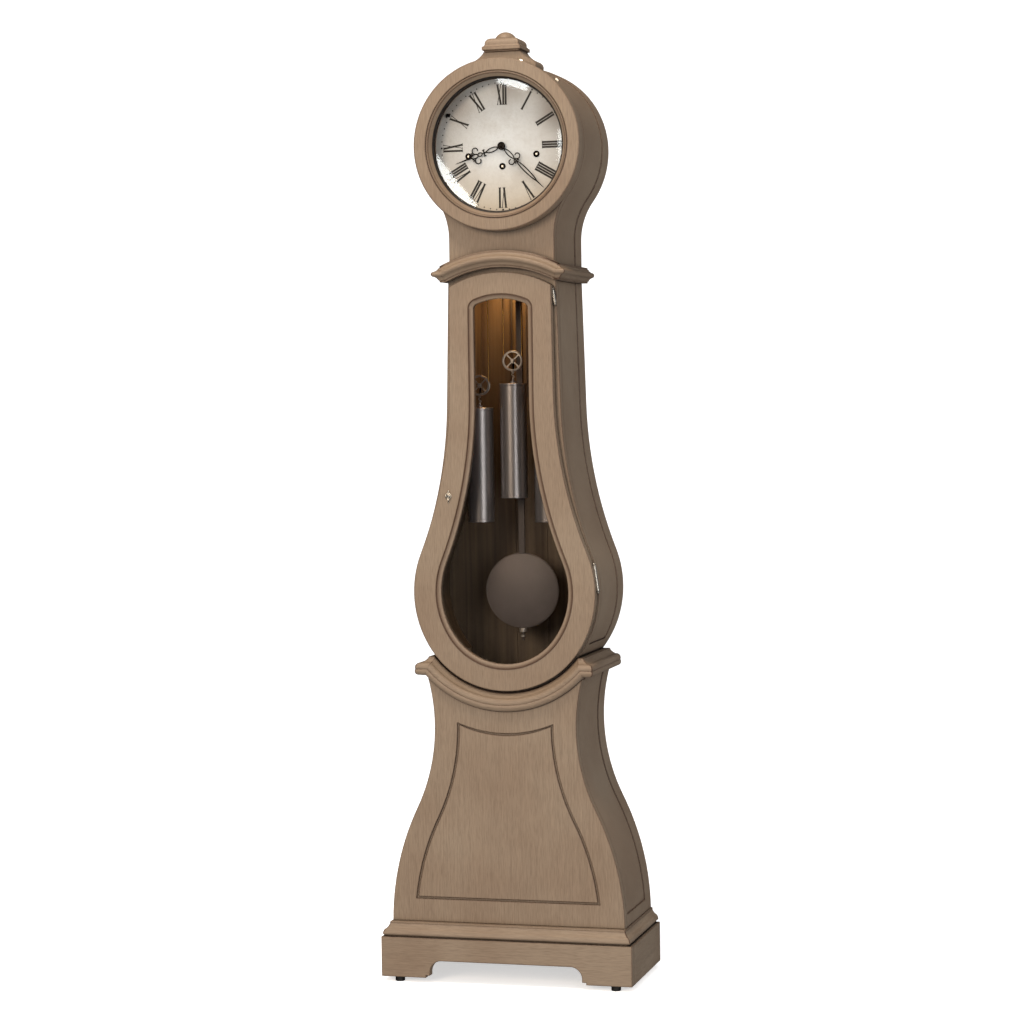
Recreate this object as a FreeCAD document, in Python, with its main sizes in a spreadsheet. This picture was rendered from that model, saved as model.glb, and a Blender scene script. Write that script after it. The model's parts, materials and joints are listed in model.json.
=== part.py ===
import FreeCAD, Part
import math
import os
import Sketcher
from FreeCAD import Placement, Rotation, Vector

# A Mora longcase clock: a pinched base on a bracket plinth, a bellied waist with a glazed
# door, a round head with a glazed dial door, a weight-driven movement and a pendulum.
# Millimetres. X to the right, Y towards the wall, Z up. The origin is on the floor,
# under the middle of the plinth. Depths are measured forwards from the wall.

doc = FreeCAD.newDocument("MoraClock")

# Driving sizes
SIZES = [
    # plinth and glides
    ("plinth_width", 586.6), ("plinth_depth", 294.5), ("plinth_top", 102.3),
    ("plinth_board", 20.0), ("corner_block", 38.0),
    ("glide_height", 11.2), ("glide_radius", 11.0), ("glide_edge", 2.0),
    ("glide_side_inset", 40.0), ("glide_front_inset", 14.0),
    ("bracket_half", 187.5), ("bracket_step_half", 178.0), ("bracket_step_top", 16.5),
    ("bracket_top", 50.8), ("bracket_corner", 27.0),
    # base moulding
    ("base_mould_top", 135.8), ("base_mould_inset", 20.9), ("base_mould_setback", 17.4),
    ("base_mould_reach", 16.5), ("base_mould_ledge", 31.0),
    # base
    ("base_setback", 26.5), ("front_board", 20.0), ("base_wall", 14.0), ("base_top", 700.0),
    ("base_pinch_half", 165.6), ("base_pinch_drop", 115.0),
    ("base_foot_inset", 0.1), ("base_foot_height", 130.0),
    ("panel_margin", 56.0), ("panel_top", 590.5), ("panel_sag", 22.7), ("panel_low", 190.5),
    ("groove_width", 5.0), ("groove_depth", 3.0),
    ("floor_board", 14.0), ("back_board", 12.0), ("board_seam", 0.8), ("seam_offset", 38.0),
    ("recess_depth", 3.0), ("recess_front", 30.0), ("recess_rear", 56.0), ("recess_end", 28.0),
    # capital
    ("capital_top", 741.3), ("capital_half", 206.5), ("capital_setback", 15.5),
    ("capital_reach", 27.6), ("capital_rail", 29.0), ("shadow_gap", 2.0),
    # waist
    ("case_setback", 52.2), ("waist_wall", 12.0), ("frame_width", 22.0),
    ("waist_half", 126.1), ("waist_height", 1573.0), ("waist_sweep", 1000.0),
    ("belly_shift", 22.5), ("belly_height", 888.0), ("belly_radius", 238.4),
    ("belly_low", 661.5),
    # cornice
    ("cornice_low", 1589.0), ("cornice_top", 1625.0), ("cornice_half", 155.6),
    ("cornice_proud", 36.8), ("cornice_foot", 126.0), ("cornice_rise", 31.0),
    ("cornice_face", 38.5), ("cornice_rail", 20.0),
    # head
    ("neck_half", 122.5), ("head_radius", 190.3), ("head_height", 1893.0),
    ("head_fillet", 156.5), ("hood_wall", 12.0), ("hood_opening", 158.0),
    ("rim_width", 58.0), ("rim_proud", 3.2),
    # crest
    ("crest_setback", 62.3), ("crest_squash", 2.6), ("pedestal_half", 79.0),
    ("pedestal_neck", 44.0), ("pedestal_top", 2106.0), ("pedestal_skirt", 2062.0),
    ("pedestal_half_depth", 34.5), ("band_half", 45.0), ("band_low", 2109.5),
    ("band_top", 2117.0), ("cove_half", 39.5), ("cove_top", 2122.0), ("ovolo_low", 2124.5),
    ("ovolo_half", 28.5), ("crest_top", 2137.0), ("button_radius", 24.5),
    ("button_rise", 15.8), ("button_edge", 3.0), ("throat_half", 41.0),
    # waist door
    ("door_proud", 20.0), ("door_gap", 0.4), ("door_line_inset", 7.6),
    ("door_belly_inset", 4.0), ("door_top", 1578.2), ("door_rise", 30.7),
    ("window_half", 63.5), ("window_sweep", 1000.0), ("window_shift", 29.4),
    ("window_height", 889.0), ("window_radius", 178.1), ("window_low", 726.0),
    ("window_top", 1549.7), ("window_crown", 146.7), ("window_corner", 12.0),
    ("lip_width", 11.0), ("lip_depth", 5.0), ("rebate_width", 6.0), ("rebate_depth", 8.0),
    ("glass_thickness", 3.0), ("bead_width", 5.0),
    ("hinge_high", 1552.0), ("hinge_high_x", 122.0), ("hinge_high_length", 27.0),
    ("hinge_low", 921.0), ("hinge_low_x", 211.0), ("hinge_low_length", 56.0),
    ("knuckle_radius", 4.0), ("pin_radius", 1.6), ("leaf_width", 13.0), ("leaf_thick", 1.2),
    ("lock_height", 1106.7), ("lock_radius", 5.0),
    ("scutcheon_radius", 7.5), ("scutcheon_thick", 1.2), ("cam_length", 17.0),
    ("cam_width", 7.0), ("cam_thick", 1.6), ("key_shank", 1.5), ("key_shank_length", 9.0),
    ("key_bow", 5.5), ("key_hole", 2.2), ("key_thick", 2.4), ("lock_stand", 1.6),
    # dial door
    ("bezel_radius", 192.5), ("bezel_proud", 34.9), ("bezel_gap", 2.4),
    ("bezel_opening", 147.0), ("bezel_step", 159.0), ("bezel_lip_depth", 16.0),
    ("bezel_quirk", 2.0), ("bezel_round", 3.0), ("bezel_rebate", 152.0),
    ("dial_hinge_out", 3.5), ("dial_hinge_length", 60.0), ("dial_knuckle", 3.0),
    ("dial_pin", 1.1), ("dial_leaf_width", 24.0), ("dial_leaf_thick", 0.9),
    ("bumper_width", 8.0), ("bumper_height", 6.0), ("bumper_depth", 10.0),
    # dial and hands
    ("dial_radius", 168.0), ("dial_thick", 1.6), ("dial_centre_hole", 6.5),
    ("winding_hole", 6.5), ("winding_drop", 20.3),
    ("middle_drop", 45.0), ("selector_x", 126.5), ("selector_rise", 73.5),
    ("selector_stem", 2.4), ("selector_slot", 3.0), ("selector_knob", 3.6),
    ("selector_length", 7.0), ("selector_pivot_x", 92.0), ("selector_pivot_rise", 11.0),
    ("selector_hub", 5.0), ("selector_arm", 6.0), ("selector_thick", 1.5),
    ("dial_foot", 3.0), ("hour_length", 115.0), ("minute_length", 137.0),
    ("hand_thick", 1.0), ("hand_space", 3.0), ("hand_boss", 7.5), ("hand_ring", 10.0),
    ("hand_ring_hole", 6.5), ("hand_root_half", 2.6), ("hand_tip_half", 0.8),
    ("hour_pipe", 4.6), ("minute_pipe", 3.2), ("hub_nut", 5.0), ("hub_nut_length", 3.5),
    # movement
    ("plate_thick", 3.0), ("plate_half", 104.0), ("plate_low", 1790.0),
    ("plate_top", 1936.0), ("pillar_inset", 14.0),
    ("movement_setback", 52.3), ("movement_deep", 62.0),
    ("pillar_radius", 5.0), ("seatboard_thick", 20.0), ("seatboard_half", 112.0),
    ("seatboard_setback", 28.3), ("seatboard_rear", 60.0), ("seat_post", 22.0),
    ("post_inner", 88.0), ("arbor_radius", 2.6), ("arbor_short", 4.0),
    ("wheel_thick", 2.6), ("motion_distance", 24.0), ("motion_setback", 29.3),
    ("cannon_setback", 39.3), ("stud_radius", 2.0), ("collar_radius", 3.4),
    # weights, pulleys, drums and cables
    ("weight_setback", 83.3), ("weight_radius", 31.0), ("weight_length", 262.0),
    ("weight_edge", 2.0), ("weight_pitch", 79.5), ("weight_side_top", 1305.0),
    ("weight_middle_top", 1360.0), ("weight_nut", 6.0), ("weight_nut_height", 7.0),
    ("hanger_wire", 1.6), ("pulley_rise", 51.0), ("pulley_radius", 24.0),
    ("pulley_groove", 20.2), ("pulley_wheel", 17.5), ("pulley_width", 7.0),
    ("groove_half", 1.2),
    ("spoke_width", 3.6), ("spoke_thick", 2.4), ("pulley_hub", 4.5), ("pulley_pin", 2.0),
    ("strap_width", 6.0), ("strap_thick", 1.4), ("strap_gap", 0.6),
    ("cable_radius", 1.0), ("cable_line", 21.5), ("cable_hole", 2.4),
    ("ferrule_radius", 3.6), ("ferrule_length", 7.0), ("drum_length", 34.0),
    ("drum_flange", 25.0), ("drum_flange_thick", 2.0),
    # pendulum
    ("pendulum_setback", 142.3), ("pivot_height", 1876.0), ("rod_width", 14.0),
    ("rod_thick", 6.0), ("rod_low", 812.0), ("rod_top", 1845.0), ("spring_width", 8.0),
    ("spring_thick", 0.8), ("bob_height", 882.0), ("bob_radius", 87.0), ("bob_thick", 26.0),
    ("bob_rim", 6.0), ("screw_radius", 2.5), ("screw_low", 766.0), ("nut_radius", 9.0),
    ("nut_height", 9.0), ("nut_low", 785.5), ("lock_nut_radius", 6.0),
    ("lock_nut_low", 774.0), ("lock_nut_height", 5.0), ("cock_width", 26.0),
    ("cock_height", 12.0), ("cock_gap", 3.0), ("cock_pin", 1.0), ("block_thick", 4.0),
    ("block_height", 10.0),
    # chime and lamp
    ("chime_height", 1700.0), ("chime_half", 52.0), ("chime_block_height", 34.0),
    ("chime_block_depth", 40.0), ("chime_rod", 2.0), ("chime_pitch", 18.0),
    ("chime_longest", 400.0), ("chime_step", 22.0), ("chime_rod_depth", 34.0),
    ("lamp_x", 66.0), ("lamp_setback", 154.3), ("lamp_radius", 9.0), ("lamp_length", 22.0),
    ("bulb_radius", 11.0), ("bulb_neck", 5.0), ("bulb_drop", 13.0), ("gland_radius", 7.0),
    ("gland_stand", 3.0), ("gland_height", 1690.0), ("gland_x", 84.0), ("gland_bore", 3.2),
    # clearances and overruns
    ("fit_gap", 0.3), ("running_gap", 0.05), ("overrun", 12.0),
]

# Outlines of the mouldings: each row is a place, as shares of the reach and of the height,
# and a row of four starts with the place that its arc passes through.
BASE_MOULD_SHARES = [(0, 1), (0.12, 1), (0.2, 0.96, 0.2, 0.88), (0.37, 0.7, 0.62, 0.56),
                     (0.86, 0.46, 1, 0.3), (0.97, 0.15, 0.82, 0.1), (0.7, 0.1), (0.7, 0)]
CAPITAL_SHARES = [(0, 1), (0.1, 1), (0.15, 0.91), (0.33, 0.8, 0.6, 0.7),
                  (0.95, 0.61, 1, 0.36), (0.95, 0.08, 0.72, 0.02), (0.6, 0)]
CORNICE_SHARES = [(0, 1), (0.46, 1), (0.46, 0.91), (0.54, 0.87), (0.67, 0.73, 0.84, 0.66),
                  (1, 0.5, 0.84, 0.34), (0.67, 0.27, 0.54, 0.13), (0.46, 0.09), (0.46, 0),
                  (0, 0)]
# The crest's pedestal: shares of its flare and of its rise, from the toe to the neck.
PEDESTAL_SHARES = [(1, 0), (1, 0.14), (0.97, 0.36, 0.8, 0.5), (0.34, 0.69, 0, 0.95), (0, 1)]
# The crest's cap: the cove and the ovolo, as shares of their own width and height.
COVE_BEND_SHARES = (0.3, 0.55)
OVOLO_BEND_SHARES = (0.75, 0.62)
WAIST_LEAN_SHARE = 0.0265
DOOR_LEAN_SHARE = 0.012

# Angles, and what the wheels and rods count
HOUR_ANGLE = 251.25
MINUTE_ANGLE = 134.9
BUMPER_ANGLES = [15.4, 43.6]
SELECTOR_SWING = 3.0
RING_PLACE_SHARE = 0.62
FOOT_RADIUS_SHARE = 0.5862
LOCK_PLACE_SHARE = 0.6042
TOOTH_ROOT_SHARE, TOOTH_TIP_SHARE = 1.15, 0.7
TOOTH_SHARES = [(-0.34, False), (-0.12, True), (0.12, True), (0.34, False)]
CANNON_TEETH, MINUTE_TEETH, PINION_TEETH, HOUR_TEETH = 12, 36, 10, 40
CHIME_RODS = 5
RIGHT_ANGLE = 90.0
HALF_TURN = 180.0
FULL_TURN = 360.0


class Size(float):
    """A length that also knows the formula which gives it from the sheet."""

    def __new__(cls, value, text):
        size = super().__new__(cls, value)
        size.text = text
        return size

    def __add__(self, other):
        return Size(float(self) + float(other), "(%s + %s)" % (self.text, formula(other)))

    def __radd__(self, other):
        return Size(float(other) + float(self), "(%s + %s)" % (formula(other), self.text))

    def __sub__(self, other):
        return Size(float(self) - float(other), "(%s - %s)" % (self.text, formula(other)))

    def __rsub__(self, other):
        return Size(float(other) - float(self), "(%s - %s)" % (formula(other), self.text))

    def __mul__(self, other):
        return Size(float(self) * float(other), "(%s * %s)" % (self.text, formula(other)))

    __rmul__ = __mul__

    def __truediv__(self, other):
        return Size(float(self) / float(other), "(%s / %s)" % (self.text, formula(other)))

    def __neg__(self):
        return Size(-float(self), "(0 - %s)" % self.text)


def formula(value):
    """The text of a size, or of a plain count or share."""
    return value.text if isinstance(value, Size) else repr(float(value))


class Named:
    """The sizes by name, as fields."""


sheet = doc.addObject("Spreadsheet::Sheet", "Sizes")
S = Named()
for row, (name, value) in enumerate(SIZES, start=1):
    sheet.set("A%d" % row, name)
    sheet.set("B%d" % row, str(value))
    sheet.setAlias("B%d" % row, name)
    setattr(S, name, Size(value, "Sizes." + name))
doc.recompute()

nodes = {}


# Helpers for building

def bind(thing, prop, value):
    """Set a property, and tie it to the sheet where the value has a formula."""
    if isinstance(value, Size):
        thing.setExpression(prop, value.text)
    elif "." not in prop:
        setattr(thing, prop, value)


def put(thing, x, y, z, rotation=None):
    """Place an object, with each coordinate tied to the sheet."""
    turn = rotation or Rotation()
    thing.Placement = Placement(Vector(float(x), float(y), float(z)), turn)
    for letter, value in zip("xyz", (x, y, z)):
        bind(thing, ".Placement.Base." + letter, value)
    return thing


def keep(thing, label):
    """Name a finished sub-part."""
    thing.Label = label
    nodes[label] = thing
    return thing


def at_depth(depth):
    """The Y coordinate of a depth measured forwards from the wall."""
    return S.plinth_depth / 2 - depth


# Depths that follow the plinth's, and the depths inside that follow the case's front.
BASE_MOULD_HALF = S.plinth_width / 2 - S.base_mould_inset
BASE_FOOT_HALF = BASE_MOULD_HALF - S.base_foot_inset
BASE_MOULD_DEPTH = S.plinth_depth - S.base_mould_setback
BASE_DEPTH = S.plinth_depth - S.base_setback
CAPITAL_DEPTH = S.plinth_depth - S.capital_setback
CASE_DEPTH = S.plinth_depth - S.case_setback
CORNICE_DEPTH = CASE_DEPTH + S.cornice_proud
DOOR_DEPTH = CASE_DEPTH + S.door_proud
BEZEL_DEPTH = CASE_DEPTH + S.bezel_proud
CREST_DEPTH = CASE_DEPTH - S.crest_setback
MOVEMENT_FRONT = CASE_DEPTH - S.movement_setback
MOVEMENT_REAR = MOVEMENT_FRONT - S.movement_deep
SEATBOARD_FRONT = CASE_DEPTH - S.seatboard_setback
MOTION_DEPTH = CASE_DEPTH - S.motion_setback
CANNON_DEPTH = CASE_DEPTH - S.cannon_setback
WEIGHT_DEPTH = CASE_DEPTH - S.weight_setback
PENDULUM_DEPTH = CASE_DEPTH - S.pendulum_setback
LAMP_DEPTH = CASE_DEPTH - S.lamp_setback

# A depth in front of everything, for tools that cut right through.
AHEAD = S.plinth_depth + BEZEL_DEPTH


def box(name, x, y, z):
    """A block between pairs of coordinates."""
    block = doc.addObject("Part::Box", name)
    for prop, pair in zip(("Length", "Width", "Height"), (x, y, z)):
        bind(block, prop, pair[1] - pair[0])
    return put(block, x[0], y[0], z[0])


TO_Y = Rotation(Vector(1, 0, 0), -RIGHT_ANGLE)


def cylinder(name, radius, height, x, y, z, rotation=None):
    """A round bar that starts at a place and runs along Z, or as turned."""
    bar = doc.addObject("Part::Cylinder", name)
    bind(bar, "Radius", radius)
    bind(bar, "Height", height)
    return put(bar, x, y, z, rotation)


def cut(name, base, *tools):
    """The base less each tool."""
    for tool in tools:
        less = doc.addObject("Part::Cut", name)
        less.Base = base
        less.Tool = tool
        base = less
    return base


def join(name, *pieces):
    """Pieces that are one solid."""
    whole = doc.addObject("Part::MultiFuse", name)
    whole.Shapes = list(pieces)
    return whole


def group(name, *pieces):
    """Separate solids that share a node."""
    several = doc.addObject("Part::Compound", name)
    several.Links = list(pieces)
    return several


def solid(name, shape):
    """A sub-part whose shape is worked out from the sheet's values."""
    thing = doc.addObject("Part::Feature", name)
    thing.Shape = shape
    return thing


def plane_of(body, role):
    return next(f for f in body.Origin.OriginFeatures if f.Role == role)


def sketch_in(body, role, path):
    """A closed sketch: corners (across, up), and a radius where an arc starts.

    A positive radius turns left on the way to the next corner.
    """
    sketch = body.newObject("Sketcher::SketchObject", body.Name + "Sketch")
    sketch.AttachmentSupport = [(plane_of(body, role), "")]
    sketch.MapMode = "FlatFace"
    ends = []
    for index, corner in enumerate(path):
        start = Vector(float(corner[0]), float(corner[1]), 0)
        after = path[(index + 1) % len(path)]
        end = Vector(float(after[0]), float(after[1]), 0)
        if len(corner) == 2:
            sketch.addGeometry(Part.LineSegment(start, end))
            ends.append((index, 1, 2))
            continue
        radius = abs(float(corner[2]))
        left = corner[2] > 0
        chord = end - start
        away = Vector(-chord.y, chord.x, 0).normalize()
        height = math.sqrt(max(radius ** 2 - (chord.Length / 2) ** 2, 0))
        centre = start + chord / 2 + away * (height if left else -height)
        first, last = (start, end) if left else (end, start)
        angles = [math.atan2(p.y - centre.y, p.x - centre.x) for p in (first, last)]
        circle = Part.Circle(centre, Vector(0, 0, 1), radius)
        sketch.addGeometry(Part.ArcOfCircle(circle, angles[0], angles[1]))
        ends.append((index, 1, 2) if left else (index, 2, 1))
    for index, (geometry, first, last) in enumerate(ends):
        following = ends[(index + 1) % len(ends)]
        sketch.addConstraint(
            Sketcher.Constraint("Coincident", geometry, last, following[0], following[1]))
    for index, corner in enumerate(path):
        geometry, first, last = ends[index]
        for kind, value in (("DistanceX", corner[0]), ("DistanceY", corner[1])):
            place = sketch.addConstraint(
                Sketcher.Constraint(kind, geometry, first, float(value)))
            if isinstance(value, Size):
                sketch.setExpression("Constraints[%d]" % place, value.text)
        if len(corner) == 3:
            size = corner[2] if corner[2] > 0 else -corner[2]
            place = sketch.addConstraint(
                Sketcher.Constraint("Radius", geometry, float(size)))
            if isinstance(size, Size):
                sketch.setExpression("Constraints[%d]" % place, size.text)
    return sketch


def turned(name, path, x, y, z, along_y=False):
    """A body turned about Z, or about Y, from corners (radius, along)."""
    body = doc.addObject("PartDesign::Body", name)
    if along_y:
        corners = [(c[1], c[0]) + tuple(-r for r in c[2:]) for c in path]
        sketch = sketch_in(body, "YZ_Plane", corners)
    else:
        sketch = sketch_in(body, "XZ_Plane", path)
    spin = body.newObject("PartDesign::Revolution", name + "Turned")
    spin.Profile = sketch
    spin.ReferenceAxis = (sketch, ["H_Axis" if along_y else "V_Axis"])
    spin.Angle = FULL_TURN
    sketch.Visibility = False
    return put(body, x, y, z)


def padded(name, role, path, thickness):
    """A body with a flat outline and an even thickness, grown from its own plane."""
    body = doc.addObject("PartDesign::Body", name)
    sketch = sketch_in(body, role, path)
    pad = body.newObject("PartDesign::Pad", name + "Pad")
    pad.Profile = sketch
    bind(pad, "Length", thickness)
    return body


# Outlines of the case, drawn in the front plane as edges

def spot(x, z):
    return Vector(float(x), 0, float(z))


def line(a, b):
    return Part.LineSegment(a, b).toShape()


def arc(centre, a, b):
    """The shorter arc from a to b about a centre."""
    radius = (a - centre).Length
    middle = centre + ((a - centre) + (b - centre)).normalize() * radius
    return Part.Arc(a, middle, b).toShape()


def flip(point):
    return Vector(-point.x, point.y, point.z)


def towards(centre, target, radius):
    return centre + (target - centre).normalize() * radius


def bellied(half, height, lean, sweep, shift, belly_z, belly, low, top, crown=0, corner=0):
    """A closed bellied outline.

    half is the half width at height, on a side that leans out downwards; sweep is the
    radius of the hollow curve, belly that of the bulge, and low the bottom of the round
    end. The top is level, or an arch of radius crown with rounded corners, whose peak is
    at top.
    """
    bulge = spot(-shift, belly_z)
    slant = math.hypot(1, lean)
    reach = half + height * lean + sweep * slant + shift
    second = -2 * reach * lean - 2 * belly_z
    third = reach ** 2 + belly_z ** 2 - (sweep + belly) ** 2
    square = 1 + lean ** 2
    hollow_z = (-second + math.sqrt(second ** 2 - 4 * square * third)) / (2 * square)
    hollow = spot(reach - lean * hollow_z - shift, hollow_z)
    meet = hollow + Vector(-1, 0, -lean) / slant * sweep
    turn = towards(hollow, bulge, sweep)
    drop = belly_z - low
    round_end = (belly ** 2 - shift ** 2 - drop ** 2) / (2 * (belly - drop))
    heart = spot(0, low + round_end)
    tail = towards(bulge, heart, belly)
    edges = [arc(hollow, meet, turn), arc(bulge, turn, tail)]
    if crown:
        arch = spot(0, top - crown)
        if corner:
            rise = math.sqrt((crown - corner) ** 2 - (half - corner) ** 2)
            knob = spot(half - corner, arch.z + rise)
            shoulder = spot(half, knob.z)
            peak = towards(arch, knob, crown)
            edges += [arc(knob, peak, shoulder), arc(flip(knob), flip(peak), flip(shoulder))]
        else:
            side = half
            for _ in range(8):
                level = arch.z + math.sqrt(crown ** 2 - side ** 2)
                side = half + (height - level) * lean
            shoulder = spot(side, level)
            peak = shoulder
        edges.append(Part.Arc(peak, spot(0, top), flip(peak)).toShape())
    else:
        shoulder = spot(half + (height - top) * lean, top)
        edges.append(line(shoulder, flip(shoulder)))
    edges.append(line(shoulder, meet))
    edges += [line(flip(shoulder), flip(meet)),
              arc(flip(hollow), flip(meet), flip(turn)),
              arc(flip(bulge), flip(turn), flip(tail)),
              Part.Arc(tail, spot(0, low), flip(tail)).toShape()]
    return edges


def case_outline(inset=0.0, top=None):
    """The waist's outline, drawn in by an inset."""
    slant = math.hypot(1, WAIST_LEAN_SHARE)
    return bellied(S.waist_half - inset * slant, S.waist_height, WAIST_LEAN_SHARE,
                   S.waist_sweep + inset, S.belly_shift, S.belly_height,
                   S.belly_radius - inset, S.belly_low + inset, top or S.cornice_top)


def door_outline(inset=0.0):
    """The waist door's outline."""
    corner_half = S.waist_half - S.door_line_inset
    crown = (corner_half ** 2 + S.door_rise ** 2) / (2 * S.door_rise)
    return bellied(corner_half - inset, S.door_top, DOOR_LEAN_SHARE, S.waist_sweep + inset,
                   S.belly_shift, S.belly_height, S.belly_radius - S.door_belly_inset - inset,
                   S.belly_low + S.door_belly_inset + inset, S.door_top + S.door_rise - inset,
                   crown - inset)


def window_outline(grow=0.0):
    """The door's window, made larger by an amount."""
    return bellied(S.window_half + grow, S.window_height, 0.0, S.window_sweep - grow,
                   S.window_shift, S.window_height, S.window_radius + grow,
                   S.window_low - grow, S.window_top + grow, S.window_crown + grow,
                   S.window_corner + grow)


def base_side(inset):
    """The base's two arcs: the pinch, the foot and where they meet."""
    pinch_half = S.base_pinch_half - inset
    foot_half = BASE_FOOT_HALF - inset
    spread = foot_half - pinch_half
    pinch_height = S.base_top - S.base_pinch_drop
    fall = pinch_height - S.base_foot_height
    both = (spread ** 2 + fall ** 2) / (2 * spread)
    foot_radius = both * FOOT_RADIUS_SHARE - inset
    pinch_radius = both - foot_radius
    pinch = spot(pinch_half + pinch_radius, pinch_height)
    foot = spot(foot_half - foot_radius, S.base_foot_height)
    return pinch, pinch_radius, foot, foot_radius, towards(pinch, foot, pinch_radius)


def base_outline(inset=0.0, low=None, top=None, sag=0.0):
    """The base's outline, drawn in by an inset, with a level or a sagging top."""
    pinch, pinch_radius, foot, foot_radius, meet = base_side(inset)
    low = low or S.base_mould_top
    top = top or S.base_top
    high = spot(pinch.x - math.sqrt(pinch_radius ** 2 - (top - pinch.z) ** 2), top)
    heel = spot(foot.x + math.sqrt(foot_radius ** 2 - (low - foot.z) ** 2), low)
    edges = [arc(pinch, high, meet), arc(foot, meet, heel), line(heel, flip(heel)),
             arc(flip(foot), flip(heel), flip(meet)), arc(flip(pinch), flip(meet), flip(high))]
    if sag:
        edges.append(Part.Arc(high, spot(0, top - sag), flip(high)).toShape())
    else:
        edges.append(line(high, flip(high)))
    return edges


def head_outline(inset=0.0, low=None):
    """The head and neck, drawn in by an inset."""
    radius = S.head_radius - inset
    neck = S.neck_half - inset
    fillet = S.head_fillet + inset
    low = low or S.cornice_top
    rise = math.sqrt((radius + fillet) ** 2 - (neck + fillet) ** 2)
    hollow = spot(neck + fillet, S.head_height - rise)
    centre = spot(0, S.head_height)
    meet = towards(centre, hollow, radius)
    side = spot(neck, hollow.z)
    foot = spot(neck, low)
    return [Part.Arc(meet, spot(0, S.head_height + radius), flip(meet)).toShape(),
            arc(hollow, meet, side), line(side, foot), line(foot, flip(foot)),
            line(flip(foot), flip(side)), arc(flip(hollow), flip(side), flip(meet))]


def slab(edges, front, rear):
    """A flat board with an outline, between two depths."""
    wire = Part.Wire(Part.__sortEdges__(edges))
    face = Part.Face(wire)
    face.translate(Vector(0, float(at_depth(front)), 0))
    return face.extrude(Vector(0, float(front - rear), 0))


def block_shape(x, front, rear, z):
    """A plain block between pairs of coordinates, as a tool."""
    corner = Vector(float(x[0]), float(at_depth(front)), float(z[0]))
    return Part.makeBox(float(x[1] - x[0]), float(front - rear), float(z[1] - z[0]), corner)


def disc_shape(radius, front, rear, x=0.0, z=0.0):
    """A round tool that runs along Y."""
    start = Vector(float(x), float(at_depth(front)), float(z))
    return Part.makeCylinder(float(radius), float(front - rear), start, Vector(0, 1, 0))


WIDE = S.plinth_width
TALL = S.head_height + S.head_radius * 2


def right_half(shape, low=None, high=None):
    """What lies on the right, between two heights."""
    keeper = block_shape((0, WIDE), AHEAD * 2, -AHEAD,
                         (low or 0, high or TALL))
    return shape.common(keeper)


def mirrored(shape):
    return shape.mirror(Vector(0, 0, 0), Vector(1, 0, 0))


# Mouldings

def profile(shares, reach, height, inner, place):
    """A moulding's section as a face, through a function that places (out, up)."""
    edges = []
    last = None
    for row in shares:
        point = place(reach * row[-2], height * row[-1])
        if last is not None and len(row) == 4:
            middle = place(reach * row[0], height * row[1])
            edges.append(Part.Arc(last, middle, point).toShape())
        elif last is not None and (point - last).Length > 0:
            edges.append(line(last, point))
        first = point if last is None else first
        last = point
    low_back = place(-inner, height * shares[-1][-1])
    high_back = place(-inner, height * shares[0][-1])
    for start, end in ((last, low_back), (low_back, high_back), (high_back, first)):
        if (end - start).Length > 0:
            edges.append(line(start, end))
    return Part.Face(Part.Wire(edges))


def mitre_plan(half, depth, size, low, high, side):
    """A prism that keeps the front run, or the right-hand run, of a mitred moulding."""
    out = S.overrun
    tip = Vector(float(half + out), float(at_depth(depth + out)), float(low))
    heel = Vector(float(half - size), float(at_depth(depth - size)), float(low))
    if side:
        points = [tip, heel, Vector(heel.x, float(at_depth(-out)), heel.z),
                  Vector(tip.x, float(at_depth(-out)), tip.z)]
    else:
        points = [tip, heel, flip(heel), flip(tip)]
    face = Part.Face(Part.makePolygon(points + points[:1]))
    return face.extrude(Vector(0, 0, float(high - low)))


def side_run(shares, half, depth, reach, low, height, inner):
    """The right-hand run of a moulding, mitred at the front corner."""
    section = profile(shares, reach, height, inner,
                      lambda out, up: Vector(float(half - reach + out),
                                             float(at_depth(depth)), float(low + up)))
    run = section.extrude(Vector(0, float(depth), 0))
    size = reach + inner + S.overrun
    return run.common(mitre_plan(half, depth, size, low - S.overrun,
                                 low + height + S.overrun, True))


def front_run(shares, half, depth, reach, low, height, inner):
    """The level front run of a moulding, not yet mitred."""
    section = profile(shares, reach, height, inner,
                      lambda out, up: Vector(float(-half), float(at_depth(depth - reach + out)),
                                             float(low + up)))
    return section.extrude(Vector(float(half * 2), 0, 0))


def arched_run(shares, depth, reach, height, inner, centre, radius, sense):
    """A moulding that follows an arc about a centre; sense is 1 over it and -1 under it."""
    def place(out, up):
        offset = radius + up if sense > 0 else radius + height - up
        return Vector(0, float(at_depth(depth - reach + out)), float(centre + sense * offset))
    section = profile(shares, reach, height, inner, place)
    axis = Vector(0, 0, float(centre))
    section.rotate(axis, Vector(0, 1, 0), -RIGHT_ANGLE)
    return section.revolve(axis, Vector(0, 1, 0), HALF_TURN)


def between_mitres(low_half, high_half, low, high, tall):
    """A prism bounded by the two mitre lines, carried on up and down."""
    slope = (high_half - low_half) / (high - low)
    points = [spot(low_half - slope * tall, low - tall),
              spot(high_half + slope * tall, high + tall)]
    points += [flip(points[1]), flip(points[0])]
    face = Part.Face(Part.makePolygon(points + points[:1]))
    face.translate(Vector(0, float(-AHEAD), 0))
    return face.extrude(Vector(0, float(AHEAD * 2), 0))


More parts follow.
